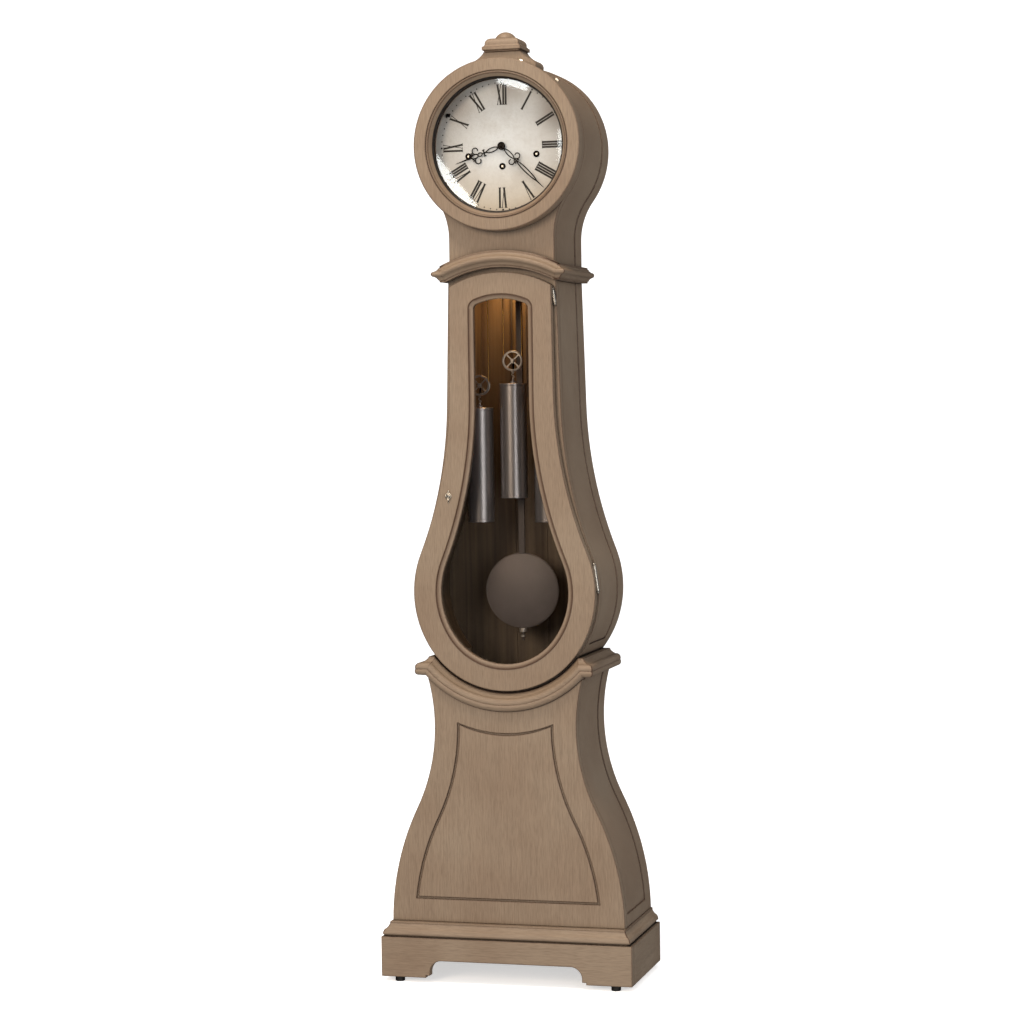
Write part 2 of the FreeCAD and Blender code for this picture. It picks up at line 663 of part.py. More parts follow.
def bent_front(shares, half, depth, reach, low, top, height, inner, centre, radius, sense):
    """A front moulding: an arched length between two level ones, mitred together."""
    arched = arched_run(shares, depth, reach, height, inner, centre, radius, sense)
    level = front_run(shares, half, depth, reach, low, top - low, inner)
    low_radius = radius if sense > 0 else radius + height
    high_radius = radius + height if sense > 0 else radius
    low_meet = math.sqrt(low_radius ** 2 - (low - centre) ** 2)
    high_meet = math.sqrt(high_radius ** 2 - (top - centre) ** 2)
    middle = between_mitres(low_meet, high_meet, low, top, height * 3)
    size = reach + inner + S.overrun
    plan = mitre_plan(half, depth, size, low - height * 4, top + height * 4, False)
    lengths = arched.common(middle).common(plan).Solids + level.cut(middle).common(plan).Solids
    return Part.makeCompound(lengths)


# Plinth

LEFT, RIGHT = -S.plinth_width / 2, S.plinth_width / 2
PLINTH_RISE = (S.glide_height, S.plinth_top)


def plinth_front():
    """The front board, with the bracket-footed cut-out along its bottom."""
    low, corner = S.glide_height, S.bracket_corner
    step, top = S.bracket_step_top, S.bracket_top
    wide, half = S.bracket_half, S.bracket_step_half
    outline = [(LEFT, low), (-wide, low), (-wide, step), (-half, step),
               (-half, top - corner, -corner), (corner - half, top),
               (half - corner, top, -corner), (half, top - corner),
               (half, step), (wide, step), (wide, low), (RIGHT, low),
               (RIGHT, S.plinth_top), (LEFT, S.plinth_top)]
    board = padded("PlinthFront", "XZ_Plane", outline, S.plinth_board)
    return put(board, 0, at_depth(S.plinth_depth - S.plinth_board), 0)


def plinth_sides():
    deep = (at_depth(S.plinth_depth - S.plinth_board), at_depth(0))
    boards = [box("PlinthSide", pair, deep, PLINTH_RISE)
              for pair in ((LEFT, LEFT + S.plinth_board), (RIGHT - S.plinth_board, RIGHT))]
    return group("PlinthSides", *boards)


def plinth_blocks():
    """The back rail, and a glued block in each corner."""
    inner = RIGHT - S.plinth_board
    rail = box("PlinthRail", (-inner, inner), (at_depth(S.plinth_board), at_depth(0)),
               PLINTH_RISE)
    pieces = [rail]
    front = S.plinth_depth - S.plinth_board
    for left in (-inner, inner - S.corner_block):
        for depth in (front, S.plinth_board + S.corner_block):
            deep = (at_depth(depth), at_depth(depth - S.corner_block))
            pieces.append(box("CornerBlock", (left, left + S.corner_block), deep, PLINTH_RISE))
    return group("PlinthBlocks", *pieces)


def glides():
    edge, radius, top = S.glide_edge, S.glide_radius, S.glide_height
    path = [(0, 0), (radius - edge, 0, edge), (radius, edge), (radius, top), (0, top)]
    across = RIGHT - S.glide_side_inset
    along = S.plinth_depth / 2 - S.glide_front_inset
    return group("Glides", *[turned("Glide", path, x, y, 0)
                             for x in (-across, across) for y in (-along, along)])


keep(plinth_front(), "plinth_front")
keep(plinth_sides(), "plinth_sides")
keep(plinth_blocks(), "plinth_blocks")
keep(glides(), "glides")


# Base

def both_sides(shape):
    return Part.makeCompound([shape, mirrored(shape)])


def base_moulding():
    """A straight moulding on the plinth: a front run and two side runs, mitred."""
    reach, low = S.base_mould_reach, S.plinth_top
    height = S.base_mould_top - low
    half, depth = BASE_MOULD_HALF + reach, BASE_MOULD_DEPTH + reach
    inner = S.base_mould_ledge
    front = front_run(BASE_MOULD_SHARES, half, depth, reach, low, height, inner)
    size = reach + inner + S.overrun
    front = front.common(mitre_plan(half, depth, size, 0, TALL, False))
    side = side_run(BASE_MOULD_SHARES, half, depth, reach, low, height, inner)
    return front, both_sides(side)


def side_recess(outline, front, low, high):
    """The sunk field in the outside of a curved side, as a tool."""
    field = block_shape((0, WIDE), front, S.recess_rear, (low, high))
    return field.cut(slab(outline(S.recess_depth), AHEAD, -S.overrun))


def side_board(outline, wall, front, low, high):
    """A curved side with a sunk field outside, which runs up under the moulding."""
    whole = slab(outline(0.0), front, 0).cut(slab(outline(wall), AHEAD, -S.overrun))
    board = right_half(whole, low, high)
    field = side_recess(outline, front - S.recess_front + S.front_board,
                        low + S.recess_end, high)
    return board.cut(field)


def capital_room():
    """The round room that the capital's dipping front takes from the boards below."""
    centre, radius = capital_arc()
    return disc_shape(radius + S.capital_top - S.base_top, BASE_DEPTH + S.overrun,
                      CASE_DEPTH - S.front_board, 0, centre)


def base_front():
    """The base's front board: a hollow top edge, and a grooved panel line."""
    board = slab(base_outline(), BASE_DEPTH, BASE_DEPTH - S.front_board)
    board = board.cut(capital_room())
    half_groove = S.groove_width / 2
    front, rear = BASE_DEPTH + S.overrun, BASE_DEPTH - S.groove_depth

    def panel(grow):
        return slab(base_outline(S.panel_margin - grow, S.panel_low - grow,
                                 S.panel_top + grow, S.panel_sag), front, rear)

    return board.cut(panel(half_groove).cut(panel(-half_groove)))


def capital_arc():
    """Centre height and radius of the round end that the capital dips around."""
    drop = S.belly_height - S.belly_low
    radius = (S.belly_radius ** 2 - S.belly_shift ** 2 - drop ** 2) / (
        2 * (S.belly_radius - drop))
    return S.belly_low + radius, radius + S.fit_gap


def base_floor():
    half = BASE_FOOT_HALF - S.base_wall - S.fit_gap * 2
    deep = (at_depth(BASE_DEPTH - S.front_board - S.fit_gap), at_depth(S.back_board + S.fit_gap))
    return box("BaseFloor", (-half, half), deep,
               (S.base_mould_top, S.base_mould_top + S.floor_board))


def sided(outline, wall, front, low, high):
    board = side_board(outline, wall, front, low, high)
    return mirrored(board), board


mould_front, mould_sides = base_moulding()
keep(solid("BaseMouldFront", mould_front), "base_mould_front")
keep(solid("BaseMouldSides", mould_sides), "base_mould_sides")
keep(solid("BaseFront", base_front()), "base_front")
base_left, base_right = [board.cut(capital_room()) for board in sided(
    base_outline, S.base_wall, BASE_DEPTH - S.front_board, S.base_mould_top, S.base_top)]
keep(solid("BaseSideLeft", base_left), "base_side_left")
keep(solid("BaseSideRight", base_right), "base_side_right")
keep(base_floor(), "base_floor")


# Capital, waist and cornice

def waist_front():
    """The waist's front frame, open where the door's window is."""
    rear = CASE_DEPTH - S.front_board
    frame = slab(case_outline(), CASE_DEPTH, rear)
    opening = slab(case_outline(S.frame_width, S.cornice_low - S.frame_width),
                   CASE_DEPTH + S.overrun, rear - S.overrun)
    return frame.cut(opening)


def capital():
    """The moulding under the waist: its front dips in an arc below the door."""
    reach, low, top = S.capital_reach, S.base_top, S.capital_top
    half, depth = S.capital_half, CAPITAL_DEPTH
    centre, radius = capital_arc()
    front_inner = depth - reach - (CASE_DEPTH - S.front_board)
    front = bent_front(CAPITAL_SHARES, half, depth, reach, low, top, top - low, front_inner,
                       centre, radius, -1)
    front = front.cut(disc_shape(radius + S.shadow_gap, depth + S.overrun,
                                 CASE_DEPTH + S.fit_gap, 0, centre))
    side = side_run(CAPITAL_SHARES, half, depth, reach, low, top - low, S.capital_rail)
    side = side.cut(slab(case_outline(-S.fit_gap), CASE_DEPTH + S.fit_gap,
                         CASE_DEPTH - S.front_board - S.fit_gap))
    return front, both_sides(side)


def cornice():
    """The moulding over the waist: its front arches above the door."""
    reach = S.cornice_half - S.cornice_foot
    low, top = S.cornice_low, S.cornice_top
    half, depth = S.cornice_half, CORNICE_DEPTH
    radius = (S.cornice_foot ** 2 + S.cornice_rise ** 2) / (2 * S.cornice_rise)
    centre = low + S.cornice_rise - radius
    front = bent_front(CORNICE_SHARES, half, depth, reach, low, top, S.cornice_face,
                       depth - reach - CASE_DEPTH, centre, radius, 1)
    side = side_run(CORNICE_SHARES, half, depth, reach, low, top - low, 0)
    rail = block_shape((S.cornice_foot - S.cornice_rail, S.cornice_foot),
                       CASE_DEPTH - S.front_board, 0, (low, top))
    return front, both_sides(side.fuse(rail).removeSplitter())


frame_shape = waist_front()
waist_left, waist_right = sided(case_outline, S.waist_wall, CASE_DEPTH - S.front_board,
                                S.capital_top, S.cornice_low)
capital_front, capital_sides = capital()
cornice_front, cornice_sides = cornice()
keep(solid("CapitalFront", capital_front), "capital_front")
keep(solid("CapitalSides", capital_sides), "capital_sides")
keep(solid("WaistSideLeft", waist_left), "waist_side_left")
keep(solid("WaistSideRight", waist_right), "waist_side_right")
keep(solid("CorniceFront", cornice_front), "cornice_front")
keep(solid("CorniceSides", cornice_sides), "cornice_sides")


# Head and crest

def hood_front():
    face = slab(head_outline(), CASE_DEPTH, CASE_DEPTH - S.front_board)
    return face.cut(disc_shape(S.hood_opening, AHEAD, 0, 0, S.head_height))


def hood_shell():
    """The bent wooden case of the head and neck, with its thicker rear rim."""
    shell = slab(head_outline(), CASE_DEPTH - S.front_board, 0)
    shell = shell.fuse(slab(head_outline(-S.rim_proud), S.rim_width, 0))
    inside = slab(head_outline(S.hood_wall, S.cornice_top - S.overrun), AHEAD,
                  -S.overrun)
    return shell.cut(inside).removeSplitter()


def balanced_face(rows):
    """An upright face, alike on both sides, from places (half, height) from low to high.

    A row of four starts with the place that its arc passes through.
    """
    points, edges = [], []
    for row in rows:
        places = [spot(x, z) for x, z in zip(row[::2], row[1::2])]
        if len(places) == 2:
            edges.append(Part.Arc(points[-1], places[0], places[1]).toShape())
        elif points:
            edges.append(line(points[-1], places[0]))
        points.append(places[-1])
    left = [edge.mirror(Vector(0, 0, 0), Vector(1, 0, 0)) for edge in edges]
    ends = [line(points[0], flip(points[0])), line(points[-1], flip(points[-1]))]
    return Part.Face(Part.Wire(Part.__sortEdges__(edges + left + ends)))


def drawn_out(face, half_depth, low):
    """A face drawn out as far before the crest's middle as behind it."""
    form = face.extrude(Vector(0, float(half_depth * 2), 0))
    form.translate(Vector(0, float(at_depth(CREST_DEPTH) - half_depth), float(low)))
    return form


def crest_pedestal():
    """The flared block that the crest stands on, scribed to the round head."""
    rise = S.pedestal_top - S.pedestal_skirt
    flare = S.pedestal_half - S.pedestal_neck
    rows = [scaled_row(row, S.pedestal_neck, flare, rise) for row in PEDESTAL_SHARES]
    form = drawn_out(balanced_face(rows), S.pedestal_half_depth, S.pedestal_skirt)
    return form.cut(disc_shape(S.head_radius + S.fit_gap, AHEAD, -AHEAD, 0, S.head_height))


def scaled_row(row, start, reach, height, low=0.0):
    """A row of shares turned into sizes: halves from a start, and heights from a low."""
    sizes = []
    for out, up in zip(row[::2], row[1::2]):
        sizes += [start + reach * out, low + height * up]
    return sizes


def crest_cap():
    """The moulded cap, alike along and across, and the turned button on top of it."""
    base = S.pedestal_top
    band, top = S.band_low - base, S.band_top - base
    cove, ovolo, crown = S.cove_top - base, S.ovolo_low - base, S.crest_top - base
    rows = [(S.throat_half, 0), (S.throat_half, band), (S.band_half, band),
            (S.band_half, top),
            scaled_row(COVE_BEND_SHARES + (0, 1), S.cove_half, S.band_half - S.cove_half,
                       cove - top, top),
            (S.cove_half, ovolo),
            scaled_row(OVOLO_BEND_SHARES + (0, 1), S.ovolo_half,
                       S.cove_half - S.ovolo_half, crown - ovolo, ovolo)]
    slim = [[size - S.crest_squash * (1 - at % 2) for at, size in enumerate(row)]
            for row in rows]
    across = drawn_out(balanced_face(rows), S.band_half, base)
    along = drawn_out(balanced_face(slim), S.band_half, base)
    middle = Vector(0, float(at_depth(CREST_DEPTH)), 0)
    along.rotate(middle, Vector(0, 0, 1), RIGHT_ANGLE)
    cap = across.common(along)
    radius = (S.button_radius ** 2 + S.button_rise ** 2) / (2 * S.button_rise)
    heart = Vector(0, float(at_depth(CREST_DEPTH)), float(S.crest_top + S.button_rise - radius))
    ball = Part.makeSphere(float(radius), heart)
    trunk = Part.makeCylinder(float(S.button_radius), float(S.button_rise * 2),
                              Vector(0, heart.y, float(S.crest_top - S.button_edge)))
    return cap.fuse(ball.common(trunk)).removeSplitter()


def back_boards():
    """Three upright boards behind the case, and the round back of the head."""
    gap, thick = S.fit_gap, S.back_board
    ledge = BASE_MOULD_HALF - S.base_mould_ledge - gap
    rail = S.capital_half - S.capital_reach - S.capital_rail - gap
    high_rail = S.cornice_foot - S.cornice_rail - gap
    parts = [block_shape((-ledge, ledge), thick, 0, (S.plinth_top, S.base_mould_top)),
             slab(base_outline(S.base_wall + gap), thick, 0),
             block_shape((-rail, rail), thick, 0, (S.base_top, S.capital_top)),
             slab(case_outline(S.waist_wall + gap), thick, 0).common(
                 block_shape((-WIDE, WIDE), thick, 0, (S.capital_top, S.cornice_low))),
             block_shape((-high_rail, high_rail), thick, 0, (S.cornice_low, S.cornice_top))]
    boards = parts[0].fuse(parts[1:]).removeSplitter()
    for side in (-1, 1):
        middle = side * S.seam_offset
        boards = boards.cut(block_shape((middle - S.board_seam / 2, middle + S.board_seam / 2),
                                        AHEAD, -S.overrun, (0, TALL)))
    round_back = slab(head_outline(S.hood_wall + gap, S.cornice_top + gap), thick, 0)
    round_back = round_back.cut(disc_shape(S.gland_radius + gap, AHEAD, -S.overrun,
                                           S.gland_x, S.gland_height))
    return Part.makeCompound(boards.Solids + [round_back])


keep(solid("HoodFront", hood_front()), "hood_front")
keep(solid("HoodShell", hood_shell()), "hood_shell")
keep(solid("CrestPedestal", crest_pedestal()), "crest_pedestal")
keep(solid("CrestCap", crest_cap()), "crest_cap")
keep(solid("BackBoards", back_boards()), "back_boards")


# Waist door, with its glass, hinges, lock and key

DOOR_BACK = CASE_DEPTH + S.door_gap
HINGE_DEPTH = DOOR_BACK + S.knuckle_radius - S.door_gap / 2
HINGES = [(S.hinge_high_x, S.hinge_high, S.hinge_high_length),
          (S.hinge_low_x, S.hinge_low, S.hinge_low_length)]
HINGE_LEAN = math.degrees(math.atan2(S.hinge_low_x - S.hinge_high_x,
                                     S.hinge_high - S.hinge_low))


def set_at(shape, x, depth, z, lean=0.0):
    """Move a shape from the origin to a place, leaning about Y."""
    moved = shape.copy()
    moved.Placement = Placement(Vector(float(x), float(at_depth(depth)), float(z)),
                                Rotation(Vector(0, 1, 0), -lean)).multiply(shape.Placement)
    return moved


def rod_z(radius, low, high):
    return Part.makeCylinder(float(radius), float(high - low), Vector(0, 0, float(low)))


def slot_box(x, y, z):
    """A block between pairs of local coordinates."""
    return Part.makeBox(float(x[1] - x[0]), float(y[1] - y[0]), float(z[1] - z[0]),
                        Vector(float(x[0]), float(y[0]), float(z[0])))


def knuckle_spans(length):
    """The heights of the frame's two knuckles and of the door's one."""
    third, half, gap = length / 3, length / 2, S.fit_gap
    frame = [(-half, -half + third), (half - third, half)]
    door = [(-half + third + gap, half - third - gap)]
    return frame, door


def leaf(length, own, other, front, rear):
    """A leaf with its knuckles, and no metal in the other leaf's knuckles' way."""
    plate = slot_box((-S.leaf_width, S.leaf_thick), (front, rear), (-length / 2, length / 2))
    for low, high in other:
        room = rod_z(S.knuckle_radius + S.door_gap, low - S.fit_gap, high + S.fit_gap)
        plate = plate.cut(room)
    for low, high in own:
        web = slot_box((-S.leaf_thick, S.leaf_thick), (0, rear), (low, high))
        plate = plate.fuse([rod_z(S.knuckle_radius, low, high), web])
    return plate.removeSplitter()


def frame_leaf(length):
    """The leaf screwed to the waist, with the pin that the door turns on."""
    own, other = knuckle_spans(length)
    front = S.knuckle_radius
    plate = leaf(length, own, other, front, front + S.leaf_thick)
    return plate.fuse(rod_z(S.pin_radius, -length / 2, length / 2)).removeSplitter()


def door_leaf(length):
    """The leaf let into the back of the door, bored for the pin."""
    other, own = knuckle_spans(length)
    rear = S.knuckle_radius - S.door_gap / 2
    plate = leaf(length, own, other, rear - S.leaf_thick, rear)
    return plate.cut(rod_z(S.pin_radius + S.running_gap, -length, length))


def knuckle_room(length):
    return rod_z(S.knuckle_radius + S.door_gap, -length / 2 - S.fit_gap,
                 length / 2 + S.fit_gap)


def at_hinges(make):
    return [set_at(make(length), x, HINGE_DEPTH, z, HINGE_LEAN) for x, z, length in HINGES]


def wire_at(edges, depth):
    wire = Part.Wire(Part.__sortEdges__(edges))
    wire.translate(Vector(0, float(at_depth(depth)), 0))
    return wire


def half_at(edges, z):
    """The half-width of a closed outline at a height."""
    level = Part.makeLine(spot(0, z), spot(WIDE, z))
    return Part.Face(Part.Wire(Part.__sortEdges__(edges))).common(level).Length


def lock_place():
    """The lock's distance from the middle: between the window and the door's edge."""
    inner = half_at(window_outline(), S.lock_height)
    outer = half_at(door_outline(), S.lock_height)
    return inner + (outer - inner) * LOCK_PLACE_SHARE


LOCK_X = lock_place()


def lock_bar(radius, front, rear):
    return disc_shape(radius, front, rear, -LOCK_X, S.lock_height)


def door_frame():
    """The door's frame: a sloping lip outside, and a rebate for the glass behind."""
    frame = slab(door_outline(), DOOR_DEPTH, DOOR_BACK)
    frame = frame.cut(slab(window_outline(), AHEAD, S.back_board))
    lip = Part.makeLoft([wire_at(window_outline(S.lip_width), DOOR_DEPTH),
                         wire_at(window_outline(), DOOR_DEPTH - S.lip_depth)], True, True)
    frame = frame.cut(lip)
    frame = frame.cut(slab(window_outline(S.rebate_width), DOOR_BACK + S.rebate_depth,
                           S.back_board))
    frame = frame.cut(lock_bar(S.lock_radius, AHEAD, S.back_board))
    for room, plate in zip(at_hinges(knuckle_room), door_leaves):
        frame = frame.cut(room).cut(plate)
    return frame


def door_lock():
    """The lock's barrel, and the plate round the keyhole, both bored for the key."""
    front, gap = DOOR_DEPTH, S.running_gap
    rear = CASE_DEPTH - S.front_board - S.lock_stand
    barrel = lock_bar(S.lock_radius, front, rear)
    plate = lock_bar(S.scutcheon_radius, front + S.scutcheon_thick, front)
    bore = lock_bar(S.key_shank + gap, AHEAD, 0)
    return barrel.fuse(plate).removeSplitter().cut(bore)


def door_key():
    """The key as it stands in the lock, with the cam that it turns."""
    rear = CASE_DEPTH - S.front_board - S.lock_stand - S.fit_gap
    front = DOOR_DEPTH + S.scutcheon_thick + S.key_shank_length
    shank = lock_bar(S.key_shank, front, rear - S.cam_thick)
    middle = at_depth(front + S.key_bow)
    start = Vector(float(-LOCK_X - S.key_thick / 2), float(middle), float(S.lock_height))
    across = Vector(1, 0, 0)
    bow = Part.makeCylinder(float(S.key_bow), float(S.key_thick), start, across)
    eye = Part.makeCylinder(float(S.key_hole), float(S.key_thick), start, across)
    half = S.cam_width / 2
    cam = block_shape((-LOCK_X - half, -LOCK_X + half), rear, rear - S.cam_thick,
                      (S.lock_height - S.cam_length, S.lock_height))
    cam = cam.fuse(lock_bar(half, rear, rear - S.cam_thick))
    return shank.fuse([bow, cam]).cut(eye).removeSplitter()


GLASS_FRONT = DOOR_BACK + S.rebate_depth
door_leaves = at_hinges(door_leaf)
frame_leaves = at_hinges(frame_leaf)
frame_shape = frame_shape.cut(Part.makeCompound(frame_leaves))
keep(solid("WaistFront", frame_shape), "waist_front")
keep(solid("WaistHingeLeaves", Part.makeCompound(frame_leaves)), "waist_hinge_leaves")
keep(solid("DoorHingeLeaves", Part.makeCompound(door_leaves)), "door_hinge_leaves")
keep(solid("DoorFrame", door_frame()), "door_frame")
keep(solid("DoorGlass", slab(window_outline(S.rebate_width - S.fit_gap), GLASS_FRONT,
                             GLASS_FRONT - S.glass_thickness)), "door_glass")
bead = slab(window_outline(S.rebate_width - S.fit_gap), GLASS_FRONT - S.glass_thickness,
            DOOR_BACK)
bead = bead.cut(slab(window_outline(S.rebate_width - S.fit_gap - S.bead_width),
                     AHEAD, 0))
keep(solid("DoorGlassBead", bead), "door_glass_bead")
keep(solid("DoorLock", door_lock()), "door_lock")
keep(solid("DoorKey", door_key()), "door_key")


# Dial door

def bezel():
    """The turned wooden ring: a flat face, a quirk and a sloping lip round the glass."""
    radius, curve = S.bezel_radius, S.bezel_round
    thick = BEZEL_DEPTH - CASE_DEPTH - S.bezel_gap
    step, quirk, lip = S.bezel_step, S.bezel_quirk, S.bezel_lip_depth
    seat = lip + S.glass_thickness
    path = [(radius, thick), (radius, curve, curve), (radius - curve, 0),
            (step + quirk, 0), (step + quirk, quirk), (step, quirk),
            (S.bezel_opening, lip), (S.bezel_opening, seat), (S.bezel_rebate, seat),
            (S.bezel_rebate, thick)]
    return turned("Bezel", path, 0, at_depth(BEZEL_DEPTH), S.head_height, True)


def ring_of(name, outer, inner, front, thick):
    """A flat ring about the dial's centre."""
    y = at_depth(front)
    whole = cylinder(name + "Outer", outer, thick, 0, y, S.head_height, TO_Y)
    hole = cylinder(name + "Inner", inner, thick, 0, y, S.head_height, TO_Y)
    return cut(name, whole, hole)


DIAL_GLASS = BEZEL_DEPTH - S.bezel_lip_depth - S.glass_thickness
keep(bezel(), "bezel")
keep(cylinder("BezelGlass", S.bezel_rebate - S.fit_gap, S.glass_thickness, 0,
              at_depth(DIAL_GLASS), S.head_height, TO_Y), "bezel_glass")
keep(ring_of("BezelGlassRing", S.bezel_rebate - S.fit_gap, S.bezel_opening,
             DIAL_GLASS - S.glass_thickness, S.bead_width), "bezel_glass_ring")

DIAL_HINGE_X = -(S.bezel_radius + S.dial_hinge_out)
DIAL_HINGE_DEPTH = CASE_DEPTH + S.bezel_gap / 2


def dial_leaf(own, other, front, rear, spared):
    """A flat leaf behind the bezel's edge, with its knuckles outside."""
    half = S.dial_hinge_length / 2
    inner = S.dial_hinge_out + S.fit_gap
    plate = slot_box((inner, S.dial_leaf_width), (front, rear), (-half, half))
    for low, high in own:
        tab = slot_box((0, inner), (front, rear), (low, high))
        plate = plate.fuse([tab, rod_z(S.dial_knuckle, low, high)])
    for low, high in other:
        plate = plate.cut(rod_z(S.dial_knuckle + S.fit_gap, low - spared, high + spared))
    return plate.removeSplitter()


def dial_hinge():
    """The leaf on the head with its pin, and the leaf on the bezel."""
    half, gap = S.dial_hinge_length / 2, S.fit_gap
    third = S.dial_hinge_length / 3
    frame = [(-half, -half + third), (half - third, half)]
    door = [(-half + third + gap, half - third - gap)]
    rear = S.bezel_gap / 2
    fixed = dial_leaf(frame, door, rear - S.dial_leaf_thick, rear, gap)
    fixed = fixed.fuse(rod_z(S.dial_pin, -half, half)).removeSplitter()
    moving = dial_leaf(door, frame, -rear, -rear + S.dial_leaf_thick, gap)
    moving = moving.cut(rod_z(S.dial_pin + S.running_gap, -half * 2, half * 2))
    place = (DIAL_HINGE_X, DIAL_HINGE_DEPTH, S.head_height)
    return set_at(fixed, *place), set_at(moving, *place)


def bumper(angle):
    """A small block on the rim that the dial door closes against."""
    half = S.bumper_width / 2
    block = slot_box((-half, half), (0, S.bumper_depth),
                     (S.head_radius, S.head_radius + S.bumper_height))
    block = block.cut(Part.makeCylinder(float(S.head_radius), float(S.bumper_depth),
                                        Vector(0, 0, 0), Vector(0, 1, 0)))
    return set_at(block, 0, CASE_DEPTH - S.fit_gap, S.head_height, -angle)


fixed_leaf, moving_leaf = dial_hinge()
fittings = [fixed_leaf] + [bumper(angle) for angle in BUMPER_ANGLES]
keep(solid("HoodFittings", Part.makeCompound(fittings)), "hood_fittings")
keep(solid("BezelHingeLeaf", moving_leaf), "bezel_hinge_leaf")


# Seatboard and movement

CABLE_X = [S.weight_pitch * side for side in (-1, 0, 1)]
DRUM_Z = [S.head_height - S.winding_drop, S.head_height - S.middle_drop,
          S.head_height - S.winding_drop]


def rod_y(name, radius, front, rear, x, z):
    """A round bar along Y between two depths."""
    return cylinder(name, radius, front - rear, x, at_depth(front), z, TO_Y)


def seat_posts():
    rise = (S.cornice_top, S.plate_low - S.seatboard_thick)
    inner, size = S.post_inner, S.seat_post
    posts = []
    for left in (-inner - size, inner):
        for front in (SEATBOARD_FRONT, MOVEMENT_REAR):
            deep = (at_depth(front), at_depth(front - size))
            posts.append(box("SeatPost", (left, left + size), deep, rise))
    return group("SeatPosts", *posts)


def seatboard():
    """The board that carries the movement, with the cables' ends held in ferrules."""
    half, low = S.seatboard_half, S.plate_low - S.seatboard_thick
    deep = (at_depth(SEATBOARD_FRONT), at_depth(S.seatboard_rear))
    board = box("SeatboardWood", (-half, half), deep, (low, S.plate_low))
    tools = []
    ferrules = []
    for x in CABLE_X:
        y = at_depth(WEIGHT_DEPTH)
        for side in (-S.cable_line, S.cable_line):
            tools.append(cylinder("CableHole", S.cable_hole, S.seatboard_thick, x + side, y,
                                  low))
        tube = cylinder("FerruleBody", S.ferrule_radius, S.ferrule_length, x + S.cable_line,
                        y, S.plate_low)
        bore = cylinder("FerruleBore", S.cable_radius + S.running_gap, S.ferrule_length,
                        x + S.cable_line, y, S.plate_low)
        ferrules.append(cut("Ferrule", tube, bore))
    wide = S.rod_width
    tools.append(box("RodSlot", (-wide, wide), (at_depth(PENDULUM_DEPTH + wide),
                                                at_depth(PENDULUM_DEPTH - wide)),
                     (low, S.plate_low)))
    return group("Seatboard", cut("SeatboardCut", board, *tools), *ferrules)


def pillar_places():
    """Where the movement's pillars stand, and the dial's feet in line with them."""
    across, inset = S.plate_half - S.pillar_inset, S.pillar_inset
    return [(x, z) for x in (-across, across)
            for z in (S.plate_low + inset, S.plate_top - inset)]


def movement_plates():
    """Two brass plates on four pillars, with the cock that the pendulum hangs from."""
    half, gap = S.plate_half, S.running_gap
    rise = (S.plate_low, S.plate_top)
    thick = S.plate_thick
    plates = []
    for front in (MOVEMENT_FRONT, MOVEMENT_REAR + thick):
        deep = (at_depth(front), at_depth(front - thick))
        plate = box("PlateBlank", (-half, half), deep, rise)
        holes = [rod_y("ArborHole", S.arbor_radius + gap, front, front - thick, x, z)
                 for x, z in zip(CABLE_X, DRUM_Z)]
        if front == MOVEMENT_FRONT:
            holes.append(rod_y("MinuteHole", S.minute_pipe + gap, front, front - thick, 0,
                               S.head_height))
        plates.append(cut("Plate", plate, *holes))
    pillars = [rod_y("Pillar", S.pillar_radius, MOVEMENT_FRONT - thick,
                     MOVEMENT_REAR + thick, x, z) for x, z in pillar_places()]
    stud = rod_y("MinuteStud", S.stud_radius, MOTION_DEPTH + S.wheel_thick,
                 MOVEMENT_FRONT, 0, MINUTE_WHEEL_Z)
    pivot = rod_y("SelectorStud", S.stud_radius, SELECTOR_DEPTH, MOVEMENT_FRONT,
                  -S.selector_pivot_x, SELECTOR_Z)
    wide, high = S.cock_width / 2, S.cock_height / 2
    cock_end = PENDULUM_DEPTH + S.cock_gap
    cock = box("CockArm", (-wide, wide), (at_depth(MOVEMENT_REAR), at_depth(cock_end)),
               (S.pivot_height - high, S.pivot_height + high))
    pin = rod_y("CockPin", S.cock_pin, cock_end, PENDULUM_DEPTH - S.block_thick, 0,
                S.pivot_height)
    return group("MovementPlates", *plates, *pillars, stud, pivot, join("Cock", cock, pin))


MINUTE_WHEEL_Z = S.head_height + S.motion_distance
SELECTOR_Z = S.head_height + S.selector_pivot_rise
SELECTOR_DEPTH = MOTION_DEPTH + S.wheel_thick
DIAL_FRONT = CASE_DEPTH - S.front_board - S.fit_gap
keep(seat_posts(), "seat_posts")
keep(seatboard(), "seatboard")
keep(movement_plates(), "movement_plates")


# Dial, hands and motion work

